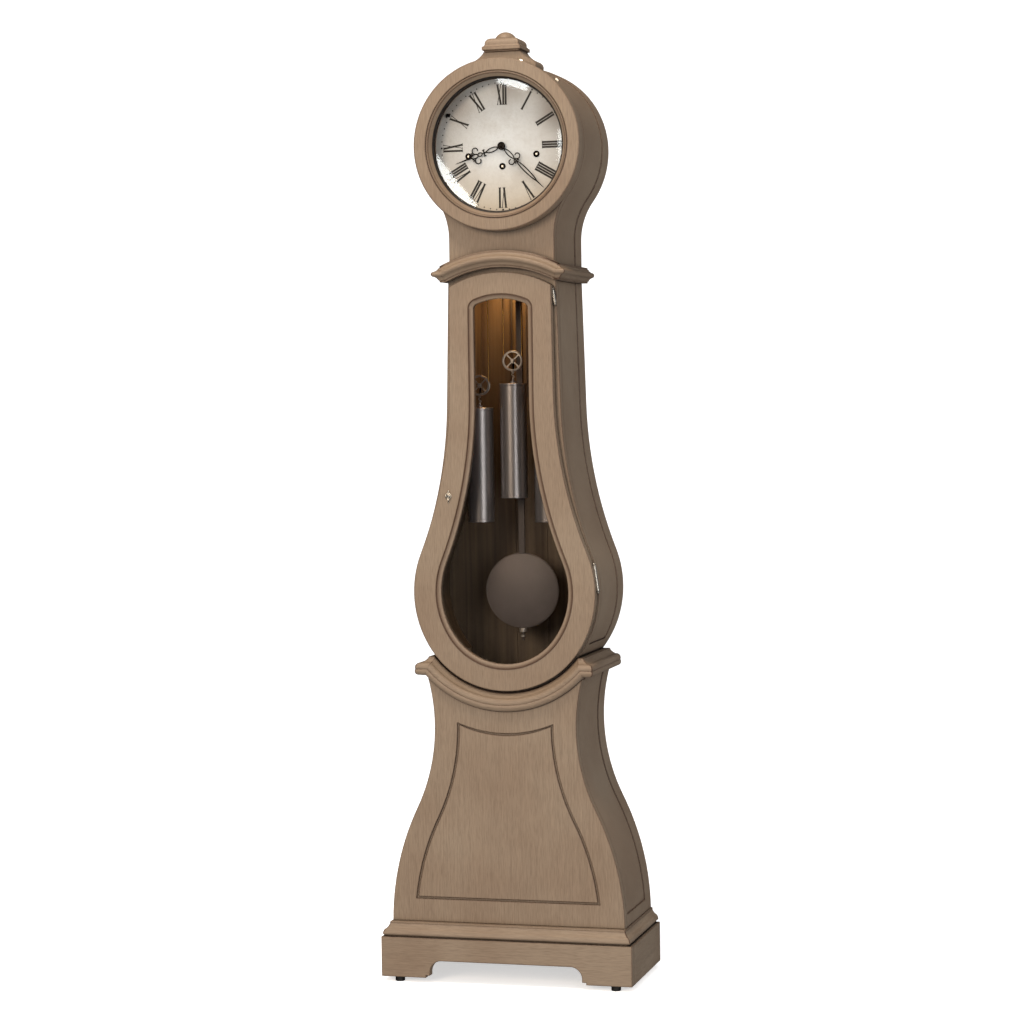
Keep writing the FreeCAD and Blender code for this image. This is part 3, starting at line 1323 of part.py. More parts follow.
def selector_slot():
    """The curved slot in the dial that the selector's stem moves along."""
    x, z = S.selector_x - S.selector_pivot_x, S.selector_rise - S.selector_pivot_rise
    reach = math.hypot(x, z)
    angle = math.degrees(math.atan2(x, z))
    slot = Part.makeCylinder(float(reach + S.selector_slot), float(AHEAD))
    slot = slot.cut(Part.makeCylinder(float(reach - S.selector_slot), float(AHEAD)))
    wide = reach * 2
    half = SELECTOR_SWING
    corners = [Vector(0, 0, 0)]
    for side in (-half, half):
        turn = math.radians(side)
        corners.append(Vector(wide * math.sin(turn), wide * math.cos(turn), 0))
    wedge = Part.Face(Part.makePolygon(corners + corners[:1]))
    slot = slot.common(wedge.extrude(Vector(0, 0, float(AHEAD))))
    for side in (-half, half):
        turn = math.radians(side)
        end = Vector(reach * math.sin(turn), reach * math.cos(turn), 0)
        slot = slot.fuse(Part.makeCylinder(float(S.selector_slot), float(AHEAD), end))
    slot.rotate(Vector(0, 0, 0), Vector(0, 0, 1), angle)
    slot.rotate(Vector(0, 0, 0), Vector(1, 0, 0), RIGHT_ANGLE)
    slot.translate(Vector(float(-S.selector_pivot_x), float(at_depth(0)), float(SELECTOR_Z)))
    return slot


def dial():
    """The enamelled dial plate on four feet."""
    y, thick = at_depth(DIAL_FRONT), S.dial_thick
    plate = cylinder("DialPlate", S.dial_radius, thick, 0, y, S.head_height, TO_Y)
    holes = [cylinder("DialHole", S.dial_centre_hole, thick, 0, y, S.head_height, TO_Y)]
    for x, z in zip(CABLE_X, DRUM_Z):
        holes.append(cylinder("WindingHole", S.winding_hole, thick, x, y, z, TO_Y))
    holes.append(solid("SelectorSlot", selector_slot()))
    feet = [rod_y("DialFoot", S.dial_foot, DIAL_FRONT - thick, MOVEMENT_FRONT, x, z)
            for x, z in pillar_places()]
    return join("Dial", cut("DialPierced", plate, *holes), *feet)


def wheel(teeth, radius, front, thick, x, z, first):
    """A toothed wheel whose first tooth points at an angle from +X towards +Z."""
    module = radius * 2 / teeth
    step = 2 * math.pi / teeth
    corners = []
    for tooth in range(teeth):
        middle = math.radians(first) + tooth * step
        for offset, tip in TOOTH_SHARES:
            size = radius + module * TOOTH_TIP_SHARE if tip else radius - module * TOOTH_ROOT_SHARE
            angle = middle + offset * step
            corners.append(Vector(float(size) * math.cos(angle), 0,
                                  float(size) * math.sin(angle)))
    face = Part.Face(Part.makePolygon(corners + corners[:1]))
    face.translate(Vector(float(x), float(at_depth(front)), float(z)))
    return face.extrude(Vector(0, float(thick), 0))


def hand(length, angle, front):
    """A pierced hand: a boss, a tapered stem with a ring, and a fine tip."""
    def part_disc(radius, up):
        return disc_shape(radius, front, front - S.hand_thick, 0, up)
    ring = length * RING_PLACE_SHARE
    root, tip = S.hand_root_half, S.hand_tip_half
    stem = Part.Face(Part.makePolygon([spot(-root, 0), spot(root, 0), spot(tip, length),
                                       spot(-tip, length), spot(-root, 0)]))
    stem.translate(Vector(0, float(at_depth(front)), 0))
    stem = stem.extrude(Vector(0, float(S.hand_thick), 0))
    shape = stem.fuse([part_disc(S.hand_boss, 0), part_disc(S.hand_ring, ring)])
    shape = shape.cut(part_disc(S.hand_ring_hole, ring))
    shape.rotate(Vector(0, 0, 0), Vector(0, 1, 0), angle)
    shape.translate(Vector(0, 0, float(S.head_height)))
    return shape


def round_bar(radius, front, rear, x=0.0, z=None):
    return disc_shape(radius, front, rear, x, S.head_height if z is None else z)


HOUR_FRONT = DIAL_FRONT + S.hand_space + S.hand_thick
MINUTE_FRONT = HOUR_FRONT + S.hand_space + S.hand_thick
MODULE_SUM = CANNON_TEETH + MINUTE_TEETH
HOUR_SUM = PINION_TEETH + HOUR_TEETH


def pitch_radius(teeth, both):
    return S.motion_distance * (teeth / both)


def minute_hand():
    """The minute hand on its pipe, with the small driving wheel behind."""
    driver = wheel(CANNON_TEETH, pitch_radius(CANNON_TEETH, MODULE_SUM), CANNON_DEPTH,
                   S.wheel_thick, 0, S.head_height, RIGHT_ANGLE + HALF_TURN / CANNON_TEETH)
    pipe = round_bar(S.minute_pipe, MINUTE_FRONT, MOVEMENT_FRONT - S.plate_thick)
    nut = round_bar(S.hub_nut, MINUTE_FRONT + S.hub_nut_length, MINUTE_FRONT)
    return pipe.fuse([driver, nut, hand(S.minute_length, MINUTE_ANGLE, MINUTE_FRONT)])


def hour_hand():
    """The hour hand on its pipe, which turns on the minute pipe."""
    disc = wheel(HOUR_TEETH, pitch_radius(HOUR_TEETH, HOUR_SUM), MOTION_DEPTH,
                 S.wheel_thick, 0, S.head_height, RIGHT_ANGLE + HALF_TURN / HOUR_TEETH)
    pipe = round_bar(S.hour_pipe, HOUR_FRONT, MOTION_DEPTH - S.wheel_thick)
    whole = pipe.fuse([disc, hand(S.hour_length, HOUR_ANGLE, HOUR_FRONT)])
    return whole.cut(round_bar(S.minute_pipe + S.running_gap, AHEAD, 0))


def minute_wheel():
    """The wheel and pinion that gear the hour hand down."""
    z = MINUTE_WHEEL_Z
    big = wheel(MINUTE_TEETH, pitch_radius(MINUTE_TEETH, MODULE_SUM), CANNON_DEPTH,
                S.wheel_thick, 0, z, -RIGHT_ANGLE)
    small = wheel(PINION_TEETH, pitch_radius(PINION_TEETH, HOUR_SUM), MOTION_DEPTH,
                  S.wheel_thick, 0, z, -RIGHT_ANGLE)
    collar = round_bar(S.collar_radius, MOTION_DEPTH, MOVEMENT_FRONT + S.fit_gap, 0, z)
    bore = round_bar(S.stud_radius + S.running_gap, AHEAD, 0, 0, z)
    return collar.fuse([big, small]).cut(bore)


def selector_lever():
    """The silencing lever: a hub on its stud, an arm, and a knob through the dial."""
    front, x, z = SELECTOR_DEPTH - S.fit_gap, -S.selector_pivot_x, SELECTOR_Z
    knob_x, knob_z = -S.selector_x, S.head_height + S.selector_rise
    across, up = knob_x - x, knob_z - z
    length = math.hypot(across, up)
    arm = slot_box((-S.selector_arm / 2, S.selector_arm / 2), (0, S.selector_thick),
                   (0, length))
    arm = set_at(arm, x, front, z, -math.degrees(math.atan2(across, up)))
    hub = round_bar(S.selector_hub, front, MOVEMENT_FRONT + S.fit_gap, x, z)
    stem = round_bar(S.selector_stem, DIAL_FRONT + S.fit_gap, front - S.selector_thick,
                     knob_x, knob_z)
    knob = round_bar(S.selector_knob, DIAL_FRONT + S.fit_gap + S.selector_length,
                     DIAL_FRONT + S.fit_gap, knob_x, knob_z)
    end = round_bar(S.selector_arm / 2, front, front - S.selector_thick, knob_x, knob_z)
    bore = round_bar(S.stud_radius + S.running_gap, AHEAD, 0, x, z)
    return hub.fuse([arm, end, stem, knob]).cut(bore)


keep(dial(), "dial")
keep(solid("MinuteHand", minute_hand()), "minute_hand")
keep(solid("HourHand", hour_hand()), "hour_hand")
keep(solid("MinuteWheel", minute_wheel()), "minute_wheel")
keep(solid("SelectorLever", selector_lever()), "selector_lever")


# Weights, pulleys, drums and cables

def weight(name, x, top):
    """A lead-filled weight with its top nut, and the strap that holds its pulley."""
    y, low = at_depth(WEIGHT_DEPTH), top - S.weight_length
    edge, radius, centre = S.weight_edge, S.weight_radius, top + S.pulley_rise
    length = S.weight_length
    path = [(0, 0), (radius - edge, 0, edge), (radius, edge), (radius, length - edge, edge),
            (radius - edge, length), (0, length)]
    body = turned(name + "Body", path, x, y, low)
    nut = cylinder(name + "Nut", S.weight_nut, S.weight_nut_height, x, y, top)
    space, thick = S.pulley_width / 2 + S.strap_gap, S.strap_thick
    bridge = centre - S.pulley_radius - S.strap_gap * 2 - thick
    stem = cylinder(name + "Stem", S.hanger_wire, bridge - top, x, y, top)
    half = S.strap_width / 2
    strap = box(name + "Bridge", (x - half, x + half), (y - space - thick, y + space + thick),
                (bridge, bridge + thick))
    sides = [box(name + "Strap", (x - half, x + half), pair, (bridge, centre + half))
             for pair in ((y - space - thick, y - space), (y + space, y + space + thick))]
    pin = cylinder(name + "Pin", S.pulley_pin, (space + thick) * 2, x, y - space - thick,
                   centre, TO_Y)
    return group(name, body, join(name + "Hanger", nut, stem, strap, *sides, pin))


DIAGONAL_SHARE = math.sqrt(0.5)


def pulley(name, x, top):
    """A grooved sheave on four spokes set in a cross."""
    y, z = at_depth(WEIGHT_DEPTH) - S.pulley_width / 2, top + S.pulley_rise
    wide, groove = S.pulley_width, S.groove_half
    path = [(S.pulley_wheel, 0), (S.pulley_radius, 0), (S.pulley_groove, wide / 2 - groove),
            (S.pulley_groove, wide / 2 + groove), (S.pulley_radius, wide),
            (S.pulley_wheel, wide)]
    rim = turned(name + "Rim", path, x, y, z, True)
    hub = cylinder(name + "Hub", S.pulley_hub, wide, x, y, z, TO_Y)
    long, broad = S.pulley_wheel + S.strap_gap, S.spoke_width / 2
    spokes = []
    for side in (-1, 1):
        spoke = doc.addObject("Part::Box", name + "Spoke")
        bind(spoke, "Length", long * 2)
        bind(spoke, "Width", S.spoke_thick)
        bind(spoke, "Height", S.spoke_width)
        run, fall = long * DIAGONAL_SHARE, broad * DIAGONAL_SHARE
        put(spoke, x - run - fall * side, y + (wide - S.spoke_thick) / 2,
            z + run * side - fall, Rotation(Vector(0, 1, 0), side * RIGHT_ANGLE / 2))
        spokes.append(spoke)
    bore = cylinder(name + "Bore", S.pulley_pin + S.running_gap, wide, x, y, z, TO_Y)
    return cut(name, join(name + "Whole", rim, hub, *spokes), bore)


def drum(name, x, z):
    """A winding drum with two flanges on its arbor."""
    front = WEIGHT_DEPTH + S.drum_length / 2
    rear = WEIGHT_DEPTH - S.drum_length / 2
    thick, core = S.drum_flange_thick, S.pulley_groove
    long = S.drum_length
    path = [(0, 0), (S.drum_flange, 0), (S.drum_flange, thick), (core, thick),
            (core, long - thick), (S.drum_flange, long - thick), (S.drum_flange, long),
            (0, long)]
    barrel = turned(name + "Barrel", path, x, at_depth(front), z, True)
    ahead = rod_y(name + "ArborFront", S.arbor_radius, DIAL_FRONT - S.arbor_short, front, x, z)
    behind = rod_y(name + "ArborRear", S.arbor_radius, rear, MOVEMENT_REAR, x, z)
    return join(name, barrel, ahead, behind)


def cable(x, top, drum_z):
    """The line from its drum, down round the pulley, and up to its ferrule."""
    y, z = float(at_depth(WEIGHT_DEPTH)), float(top + S.pulley_rise)
    radius, line_radius = float(S.cable_radius), float(S.cable_line)
    end = float(S.plate_low + S.ferrule_length)
    strands = [Part.makeCylinder(radius, height - z, Vector(float(x) + side, y, z))
               for side, height in ((-line_radius, float(drum_z)), (line_radius, end))]
    section = Part.Face(Part.Wire(Part.makeCircle(radius, Vector(float(x) + line_radius, y, z))))
    bend = section.revolve(Vector(float(x), y, z), Vector(0, 1, 0), HALF_TURN)
    return strands[0].fuse([strands[1], bend]).removeSplitter()


WEIGHT_TOPS = [S.weight_side_top, S.weight_middle_top, S.weight_side_top]
for side, x, top, drum_z in zip(("left", "middle", "right"), CABLE_X, WEIGHT_TOPS, DRUM_Z):
    title = side.capitalize()
    keep(weight("Weight" + title, x, top), "weight_" + side)
    keep(pulley("Pulley" + title, x, top), "pulley_" + side)
    keep(solid("Cable" + title, cable(x, top, drum_z)), "cable_" + side)
    keep(drum("Drum" + title, x, drum_z), "drum_" + side)


# Pendulum

def pendulum_rod():
    """The flat rod, its spring and top block, and the screw for the nuts."""
    half, middle = S.rod_width / 2, PENDULUM_DEPTH
    rod = box("RodStrip", (-half, half), (at_depth(middle + S.rod_thick / 2),
                                          at_depth(middle - S.rod_thick / 2)),
              (S.rod_low, S.rod_top))
    half = S.spring_width / 2
    low = S.pivot_height - S.block_height / 2
    spring = box("Spring", (-half, half), (at_depth(middle + S.spring_thick / 2),
                                           at_depth(middle - S.spring_thick / 2)),
                 (S.rod_top, low))
    block = box("SpringBlock", (-half, half), (at_depth(middle + S.block_thick / 2),
                                               at_depth(middle - S.block_thick / 2)),
                (low, low + S.block_height))
    eye = rod_y("SpringEye", S.cock_pin + S.running_gap, middle + S.block_thick / 2,
                middle - S.block_thick / 2, 0, S.pivot_height)
    screw = cylinder("RatingScrew", S.screw_radius, S.rod_low - S.screw_low, 0,
                     at_depth(middle), S.screw_low)
    return join("PendulumRod", rod, spring, cut("SpringBlockBored", block, eye), screw)


def pendulum_bob():
    """A lens-shaped bob with a channel for the rod."""
    rise = (S.bob_thick - S.bob_rim) / 2
    curve = S.bob_radius * S.bob_radius / (rise * 2) + rise / 2
    path = [(0, 0, curve), (S.bob_radius, rise), (S.bob_radius, rise + S.bob_rim, curve),
            (0, S.bob_thick)]
    front = PENDULUM_DEPTH + S.bob_thick / 2
    lens = turned("BobLens", path, 0, at_depth(front), S.bob_height, True)
    wide, thick = S.rod_width / 2 + S.fit_gap, S.rod_thick / 2 + S.fit_gap
    channel = box("BobChannel", (-wide, wide), (at_depth(PENDULUM_DEPTH + thick),
                                                at_depth(PENDULUM_DEPTH - thick)),
                  (S.bob_height - S.bob_radius, S.bob_height + S.bob_radius))
    return cut("PendulumBob", lens, channel)


def rating_nuts():
    """The nut that the bob stands on, and the one that locks it."""
    nuts = []
    for radius, low, high in ((S.nut_radius, S.nut_low, S.nut_height),
                              (S.lock_nut_radius, S.lock_nut_low, S.lock_nut_height)):
        y = at_depth(PENDULUM_DEPTH)
        body = cylinder("NutBody", radius, high, 0, y, low)
        bore = cylinder("NutBore", S.screw_radius + S.running_gap, high, 0, y, low)
        nuts.append(cut("Nut", body, bore))
    return group("RatingNuts", *nuts)


keep(pendulum_rod(), "pendulum_rod")
keep(pendulum_bob(), "pendulum_bob")
keep(rating_nuts(), "rating_nuts")


# Chime and lamp

def chime_block():
    half, high = S.chime_half, S.chime_block_height / 2
    deep = (at_depth(S.chime_block_depth + S.back_board), at_depth(S.back_board))
    return box("ChimeBlock", (-half, half), deep, (S.chime_height - high, S.chime_height + high))


def chime_rods():
    """Rods of falling length under the chime block."""
    top = S.chime_height - S.chime_block_height / 2
    first = S.chime_pitch * ((1 - CHIME_RODS) / 2)
    rods = []
    for index in range(CHIME_RODS):
        length = S.chime_longest - S.chime_step * index
        rods.append(cylinder("ChimeRod", S.chime_rod, length, first + S.chime_pitch * index,
                             at_depth(S.chime_rod_depth), top - length))
    return group("ChimeRods", *rods)


def interior_lamp():
    """The lampholder and bulb under the seatboard, and the cord's gland in the back."""
    x, y = -S.lamp_x, at_depth(LAMP_DEPTH)
    top = S.plate_low - S.seatboard_thick
    low = top - S.lamp_length
    holder = cylinder("LampHolder", S.lamp_radius, S.lamp_length, x, y, low)
    neck = cylinder("BulbNeck", S.bulb_neck, S.bulb_drop, x, y, low - S.bulb_drop)
    ball = doc.addObject("Part::Sphere", "BulbBall")
    bind(ball, "Radius", S.bulb_radius)
    put(ball, x, y, low - S.bulb_drop)
    stand = S.back_board + S.gland_stand
    bush = rod_y("GlandBush", S.gland_radius, stand, 0, S.gland_x, S.gland_height)
    bore = rod_y("GlandBore", S.gland_bore, stand, 0, S.gland_x, S.gland_height)
    return group("InteriorLamp", holder, join("Bulb", neck, ball), cut("Gland", bush, bore))


keep(chime_block(), "chime_block")
keep(chime_rods(), "chime_rods")
keep(interior_lamp(), "interior_lamp")


# Check every object, and write each sub-part's shape

doc.recompute()
for thing in doc.Objects:
    faults = {"Invalid", "Error"} & set(thing.State)
    if faults:
        raise RuntimeError("%s failed: %s" % (thing.Name, thing.State))
for label, thing in nodes.items():
    if thing.Shape.isNull() or not thing.Shape.isValid() or not thing.Shape.Solids:
        raise RuntimeError("%s has no sound shape" % label)

os.makedirs("parts", exist_ok=True)
for label, thing in nodes.items():
    thing.Shape.exportStep("parts/%s.step" % label)
print("%d sub-parts, %d solids" % (len(nodes), sum(len(t.Shape.Solids)
                                                   for t in nodes.values())))
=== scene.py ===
# %% [markdown]
# # Dressing a Mora longcase clock
# The clock stands 2.15 m high: a limed hardwood case with a round head, a bellied waist
# with a glazed door, and a pinched base on a bracket plinth. This lesson gives each packed
# piece its finish, and models again the pieces that need more than a plain solid.
#
# The frame is in metres, with X to the right, the front towards -Y and Z up. Each object
# sits at the origin with its place in its mesh.

# %% Load the frame
import bpy
import json
from math import atan2, cos, pi, radians, sin, sqrt, tau
from mathutils import Matrix, Vector


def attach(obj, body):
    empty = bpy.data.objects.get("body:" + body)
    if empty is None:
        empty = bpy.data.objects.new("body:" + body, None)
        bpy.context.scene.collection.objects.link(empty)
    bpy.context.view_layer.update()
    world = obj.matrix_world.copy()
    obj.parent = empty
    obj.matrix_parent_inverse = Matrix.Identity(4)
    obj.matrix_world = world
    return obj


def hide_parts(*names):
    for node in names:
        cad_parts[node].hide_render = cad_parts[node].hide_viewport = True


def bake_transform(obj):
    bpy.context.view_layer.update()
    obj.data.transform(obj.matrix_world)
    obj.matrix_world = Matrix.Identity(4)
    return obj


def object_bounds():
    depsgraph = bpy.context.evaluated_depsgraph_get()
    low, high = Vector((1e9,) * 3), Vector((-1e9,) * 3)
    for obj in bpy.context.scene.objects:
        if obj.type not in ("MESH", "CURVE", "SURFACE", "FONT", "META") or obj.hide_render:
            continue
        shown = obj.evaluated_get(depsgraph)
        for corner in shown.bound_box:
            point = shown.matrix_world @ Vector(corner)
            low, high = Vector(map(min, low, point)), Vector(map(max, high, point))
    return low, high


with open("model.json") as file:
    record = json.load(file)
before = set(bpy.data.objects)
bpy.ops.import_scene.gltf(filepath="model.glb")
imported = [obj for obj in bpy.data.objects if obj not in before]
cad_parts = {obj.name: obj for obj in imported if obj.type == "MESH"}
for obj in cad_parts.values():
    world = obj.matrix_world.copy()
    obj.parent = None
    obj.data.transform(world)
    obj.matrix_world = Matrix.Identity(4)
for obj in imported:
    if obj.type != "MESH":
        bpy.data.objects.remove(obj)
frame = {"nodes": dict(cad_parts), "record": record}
cad_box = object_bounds()
nodes = frame["nodes"]
MM = 0.001
print("nodes", len(nodes), "height", round(cad_box[1].z, 4))

# %% [markdown]
# ## Helpers for objects
# An operator acts on whatever is selected, so every step starts by selecting. These are
# short names for steps that come back in nearly every piece.

# %% Helpers for objects and their meshes
# Points that are closer than a hair are one point.
HAIR = 0.01 * MM
UPRIGHT = (radians(90), 0, 0)


def only(*things):
    """Leave just these objects selected, the first of them active."""
    bpy.ops.object.select_all(action="DESELECT")
    for thing in things:
        thing.select_set(True)
    bpy.context.view_layer.objects.active = things[0]


def placed(name, data):
    """A new object in the scene."""
    thing = bpy.data.objects.new(name, data)
    bpy.context.scene.collection.objects.link(thing)
    return thing


def fresh(adder, **settings):
    """A new primitive, with nothing else selected."""
    bpy.ops.object.select_all(action="DESELECT")
    adder(**settings)
    return bpy.context.object


def everything():
    """Select the whole mesh."""
    bpy.ops.mesh.select_all(action="SELECT")


def edit(whole=True):
    """Go into edit mode, with the whole mesh selected or with the selection as it was."""
    bpy.ops.object.mode_set(mode="EDIT")
    if whole:
        everything()


def done():
    """Go back to object mode."""
    bpy.ops.object.mode_set(mode="OBJECT")


def settle():
    """Move the object's own place, turn and scale into its mesh."""
    bpy.ops.object.transform_apply(location=True, rotation=True, scale=True)


def extrude(step):
    """Pull the selection out by a step in metres."""
    bpy.ops.mesh.extrude_region_move(TRANSFORM_OT_translate={"value": step})


def stretch(factors, about=(0, 0, 0)):
    """Scale the selection about a point."""
    bpy.ops.transform.resize(value=factors, center_override=about)


def face_outwards():
    """Turn every face of the mesh outwards."""
    everything()
    bpy.ops.mesh.normals_make_consistent(inside=False)


def pick_edges(mesh, wanted):
    """Select just the edges that are wanted, and go into edit mode with them."""
    for part in (mesh.vertices, mesh.edges, mesh.polygons):
        part.foreach_set("select", [False] * len(part))
    for edge in mesh.edges:
        edge.select = wanted(edge)
    edit(False)
    bpy.ops.mesh.select_mode(type="EDGE")


def move(thing, by):
    """Move a piece's mesh by this much."""
    thing.data.transform(Matrix.Translation(by))


def second_finish(mesh, material, wanted):
    """Give the wanted faces of a mesh a material of their own."""
    mesh.materials.append(material)
    for face in mesh.polygons:
        face.material_index = int(wanted(face))


def apply_modifier(thing, kind, **settings):
    """Add a modifier with its settings, and apply it at once."""
    only(thing)
    modifier = thing.modifiers.new("Step", kind)
    for name, value in settings.items():
        setattr(modifier, name, value)
    bpy.ops.object.modifier_apply(modifier="Step")


print("object helpers ready")

# %% [markdown]
# ## Helpers for materials
# Colours are written as sRGB hex values, as a paint chart gives them, and shaders want
# linear light, so one function turns them. One function adds a shader node with its
# settings and links: a number or tuple is a value, a text is a colour, a socket is a link.

# %% Helpers for colours and shader nodes
def colour(text):
    """Linear RGBA of an sRGB hex colour."""
    parts = [int(text[at:at + 2], 16) / 255 for at in (1, 3, 5)]
    lin = [p / 12.92 if p <= 0.04045 else ((p + 0.055) / 1.055) ** 2.4 for p in parts]
    return (*lin, 1.0)


def put(tree, inputs, values):
    """Set each input to its value or its colour, or link it to its socket."""
    for name, value in values.items():
        if isinstance(value, bpy.types.NodeSocket):
            tree.links.new(value, inputs[name])
        else:
            inputs[name].default_value = colour(value) if isinstance(value, str) else value


def add(tree, kind, inputs=None, **settings):
    """One shader node of a kind, with its inputs and its settings."""
    made = tree.nodes.new("ShaderNode" + kind)
    for name, value in settings.items():
        setattr(made, name, value)
    put(tree, made.inputs, inputs or {})
    return made


def blend(tree, factor, first, second, way="MIX"):
    """A colour mix, from the first colour towards the second."""
    mix = add(tree, "Mix", data_type="RGBA", blend_type=way)
    put(tree, mix.inputs, {0: factor, 6: first, 7: second})
    return mix.outputs[2]


def spread(tree, value, low, high, start=0.0, end=1.0):
    """A value's range from low to high, spread over start to end and held there."""
    return add(tree, "MapRange", {"Value": value, "From Min": low,
               "From Max": high, "To Min": start, "To Max": end}).outputs["Result"]


def layer(tree, tone, tint, value, low, high, share=1.0):
    """Lay a colour over a tone, where a value runs from low to high."""
    return blend(tree, spread(tree, value, low, high, 0.0, share), tone, tint)


def spot(tree):
    """Where a spot of the surface lies, in metres."""
    return add(tree, "TexCoord").outputs["Object"]


def noise(tree, where, scale, detail=2.0, **more):
    """A noise value; its scale is one number per metre, or three of them for streaks."""
    if isinstance(scale, tuple):
        run = add(tree, "Mapping", {"Vector": where, "Scale": scale})
        where, scale = run.outputs["Vector"], 1.0
    return add(tree, "TexNoise", {"Vector": where, "Scale": scale, "Detail": detail,
                                  **more}).outputs["Fac"]


def bump(tree, strength, high_mm, height, invert=False, **more):
    """A normal that follows a height."""
    values = {"Strength": strength, "Distance": high_mm * MM, "Height": height, **more}
    return add(tree, "Bump", values, invert=invert).outputs["Normal"]


def begun(name):
    """A new material and its empty node tree."""
    material = bpy.data.materials.new(name)
    material.use_nodes = True
    material.node_tree.nodes.clear()
    return material, material.node_tree


def coated(material, **inputs):
    """Close a material with a principled shader; an input's name has _ for a space."""
    tree = material.node_tree
    names = {name.replace("_", " "): value for name, value in inputs.items()}
    shader = add(tree, "BsdfPrincipled", names)
    add(tree, "OutputMaterial", {"Surface": shader.outputs["BSDF"]})
    return material


print("material helpers ready")

# %% [markdown]
# ## The camera
# The clock was seen from a little to its right and above, from about six metres, through
# a long lens: its verticals hardly converge. A new camera looks straight down. It is rolled
# a little, tipped up to the horizon, and turned about the upright.

# %% Camera
CAMERA_PLACE = (1.63185, -5.91735, 1.33578)
CAMERA_TURN = 0.270643957
CAMERA_DIP = 0.0440428465
CAMERA_ROLL = -0.0141
LENS_MM = 94.27
SEES_TO = 60

aim = (Matrix.Rotation(CAMERA_TURN, 4, "Z")
       @ Matrix.Rotation(radians(90) - CAMERA_DIP, 4, "X")
       @ Matrix.Rotation(CAMERA_ROLL, 4, "Z"))
camera = placed("photo_camera", bpy.data.cameras.new("photo_camera"))
camera.matrix_world = Matrix.Translation(CAMERA_PLACE) @ aim
camera.data.lens = LENS_MM
camera.data.clip_end = SEES_TO
bpy.context.scene.camera = camera
print("camera", [round(v, 3) for v in camera.location])

# %% [markdown]
# ## The studio
# The floor runs up into the wall in one sweep, so no line shows behind the clock. The far
# edge of a plane is extruded upwards, and the corner is bevelled round. This cove is lit to
# white for the camera alone, so that the clock's sides stay dark.

# %% Floor and wall in one sweep
COVE_HALF = 9.0
COVE_FAR = 11.0
COVE_ROUND = 1.6
COVE_TALL = 7.0
COVE_GLOW = 0.55

cove = fresh(bpy.ops.mesh.primitive_plane_add, size=2)
cove.name = "studio_cove"
corners = cove.data.vertices
for vertex in corners:
    vertex.co.x *= COVE_HALF
    vertex.co.y = COVE_FAR if vertex.co.y > 0 else -COVE_HALF
pick_edges(cove.data, lambda edge: all(corners[v].co.y > 0 for v in edge.vertices))
extrude((0, 0, COVE_TALL))
done()
apply_modifier(cove, "BEVEL", width=COVE_ROUND, segments=24, limit_method="ANGLE")
bpy.ops.object.shade_smooth()
paint, tree = begun("studio_white_paint")
grit = add(tree, "TexNoise", {"Scale": 3.0, "Detail": 2.0}).outputs["Fac"]
coated(paint, Base_Color=blend(tree, grit, "#F4F3F1", "#FAFAF9"),
       Roughness=0.9, Emission_Color="#FFFFFF", Emission_Strength=COVE_GLOW)
cove.data.materials.append(paint)
cove.visible_diffuse = False
cove.visible_glossy = False
print("cove corners", len(cove.data.vertices))

# %% [markdown]
# ## Lamps
# Broad lamps shape the clock: a key from the upper left, one overhead that lets mouldings
# shade what is below them, and a wide strip from the right. Light linking keeps them off
# the panes of glass, where a mirrored square would hide the numerals. Other lamps are only
# seen in reflections: a narrow strip that runs down the weights, and three cards that the
# domed glass gathers into crescents along its rim.

# %% Broad lamps and the narrow strip
MIDDLE = (0, 0, 1.1)
STRIP_AIM = (0, 0, 1.2)
DIAL_HEIGHT = 1.893
DIAL_MIDDLE = Vector((0, -0.1, DIAL_HEIGHT))
kept_clear = bpy.data.collections.new("not_lit_by_broad_lamps")
domed_only = bpy.data.collections.new("lit_by_the_cards")


def hung(name, light, place, target, roll=0.0):
    """A lamp hung at a place, aimed at a target and rolled about its own axis."""
    holder = placed(name, light)
    aim = (Vector(target) - Vector(place)).to_track_quat("-Z", "Y").to_matrix().to_4x4()
    turned_by = Matrix.Rotation(radians(roll), 4, "Z")
    holder.matrix_world = Matrix.Translation(place) @ aim @ turned_by
    return holder


def lamp(name, place, target, wide, high, power, tint="#FFFFFF", roll=0.0, lit=kept_clear):
    """A soft rectangular lamp, linked to a collection of receivers."""
    light = bpy.data.lights.new(name, "AREA")
    light.shape = "RECTANGLE"
    light.size, light.size_y = wide, high
    light.energy = power
    light.color = colour(tint)[:3]
    holder = hung(name, light, place, target, roll)
    holder.light_linking.receiver_collection = lit
    return holder


lamp("key_light", (-2.4, -8.6, 3.9), MIDDLE, 3.4, 3.4, 375, "#FFEBD4")
lamp("top_light", (-0.3, -1.6, 5.2), MIDDLE, 1.6, 1.2, 120, "#FFEEDC")
lamp("wide_strip", (3.5, -4.5, 1.2), STRIP_AIM, 3.0, 2.8, 62)
strip = lamp("narrow_strip", (3.1, -4.8, 1.2), STRIP_AIM, 0.4, 2.8, 11)
strip.visible_diffuse = False
print("lamps", len(bpy.data.lights))

# %% Cards that the domed glass mirrors
CARD_AWAY = 5.0
CARDS = {"left_crescent_card": (-32.3, -7.1, 0.9, 1.6, 54, 38),
         "top_crescent_card": (-10.6, 25.9, 0.8, 0.8, 26, -16),
         "right_crescent_card": (5.3, 2.3, 0.5, 1.2, 14, 0)}
for name, (azimuth, elevation, wide, high, power, roll) in CARDS.items():
    sideways, rise = radians(azimuth), radians(elevation)
    way = Vector((sin(sideways) * cos(rise),
                  -cos(sideways) * cos(rise), sin(rise)))
    card = lamp(name, DIAL_MIDDLE + way * CARD_AWAY, DIAL_MIDDLE, wide, high, power,
                roll=roll, lit=domed_only)
    card.visible_diffuse = False
    print(card.name, [round(v, 2) for v in card.location])

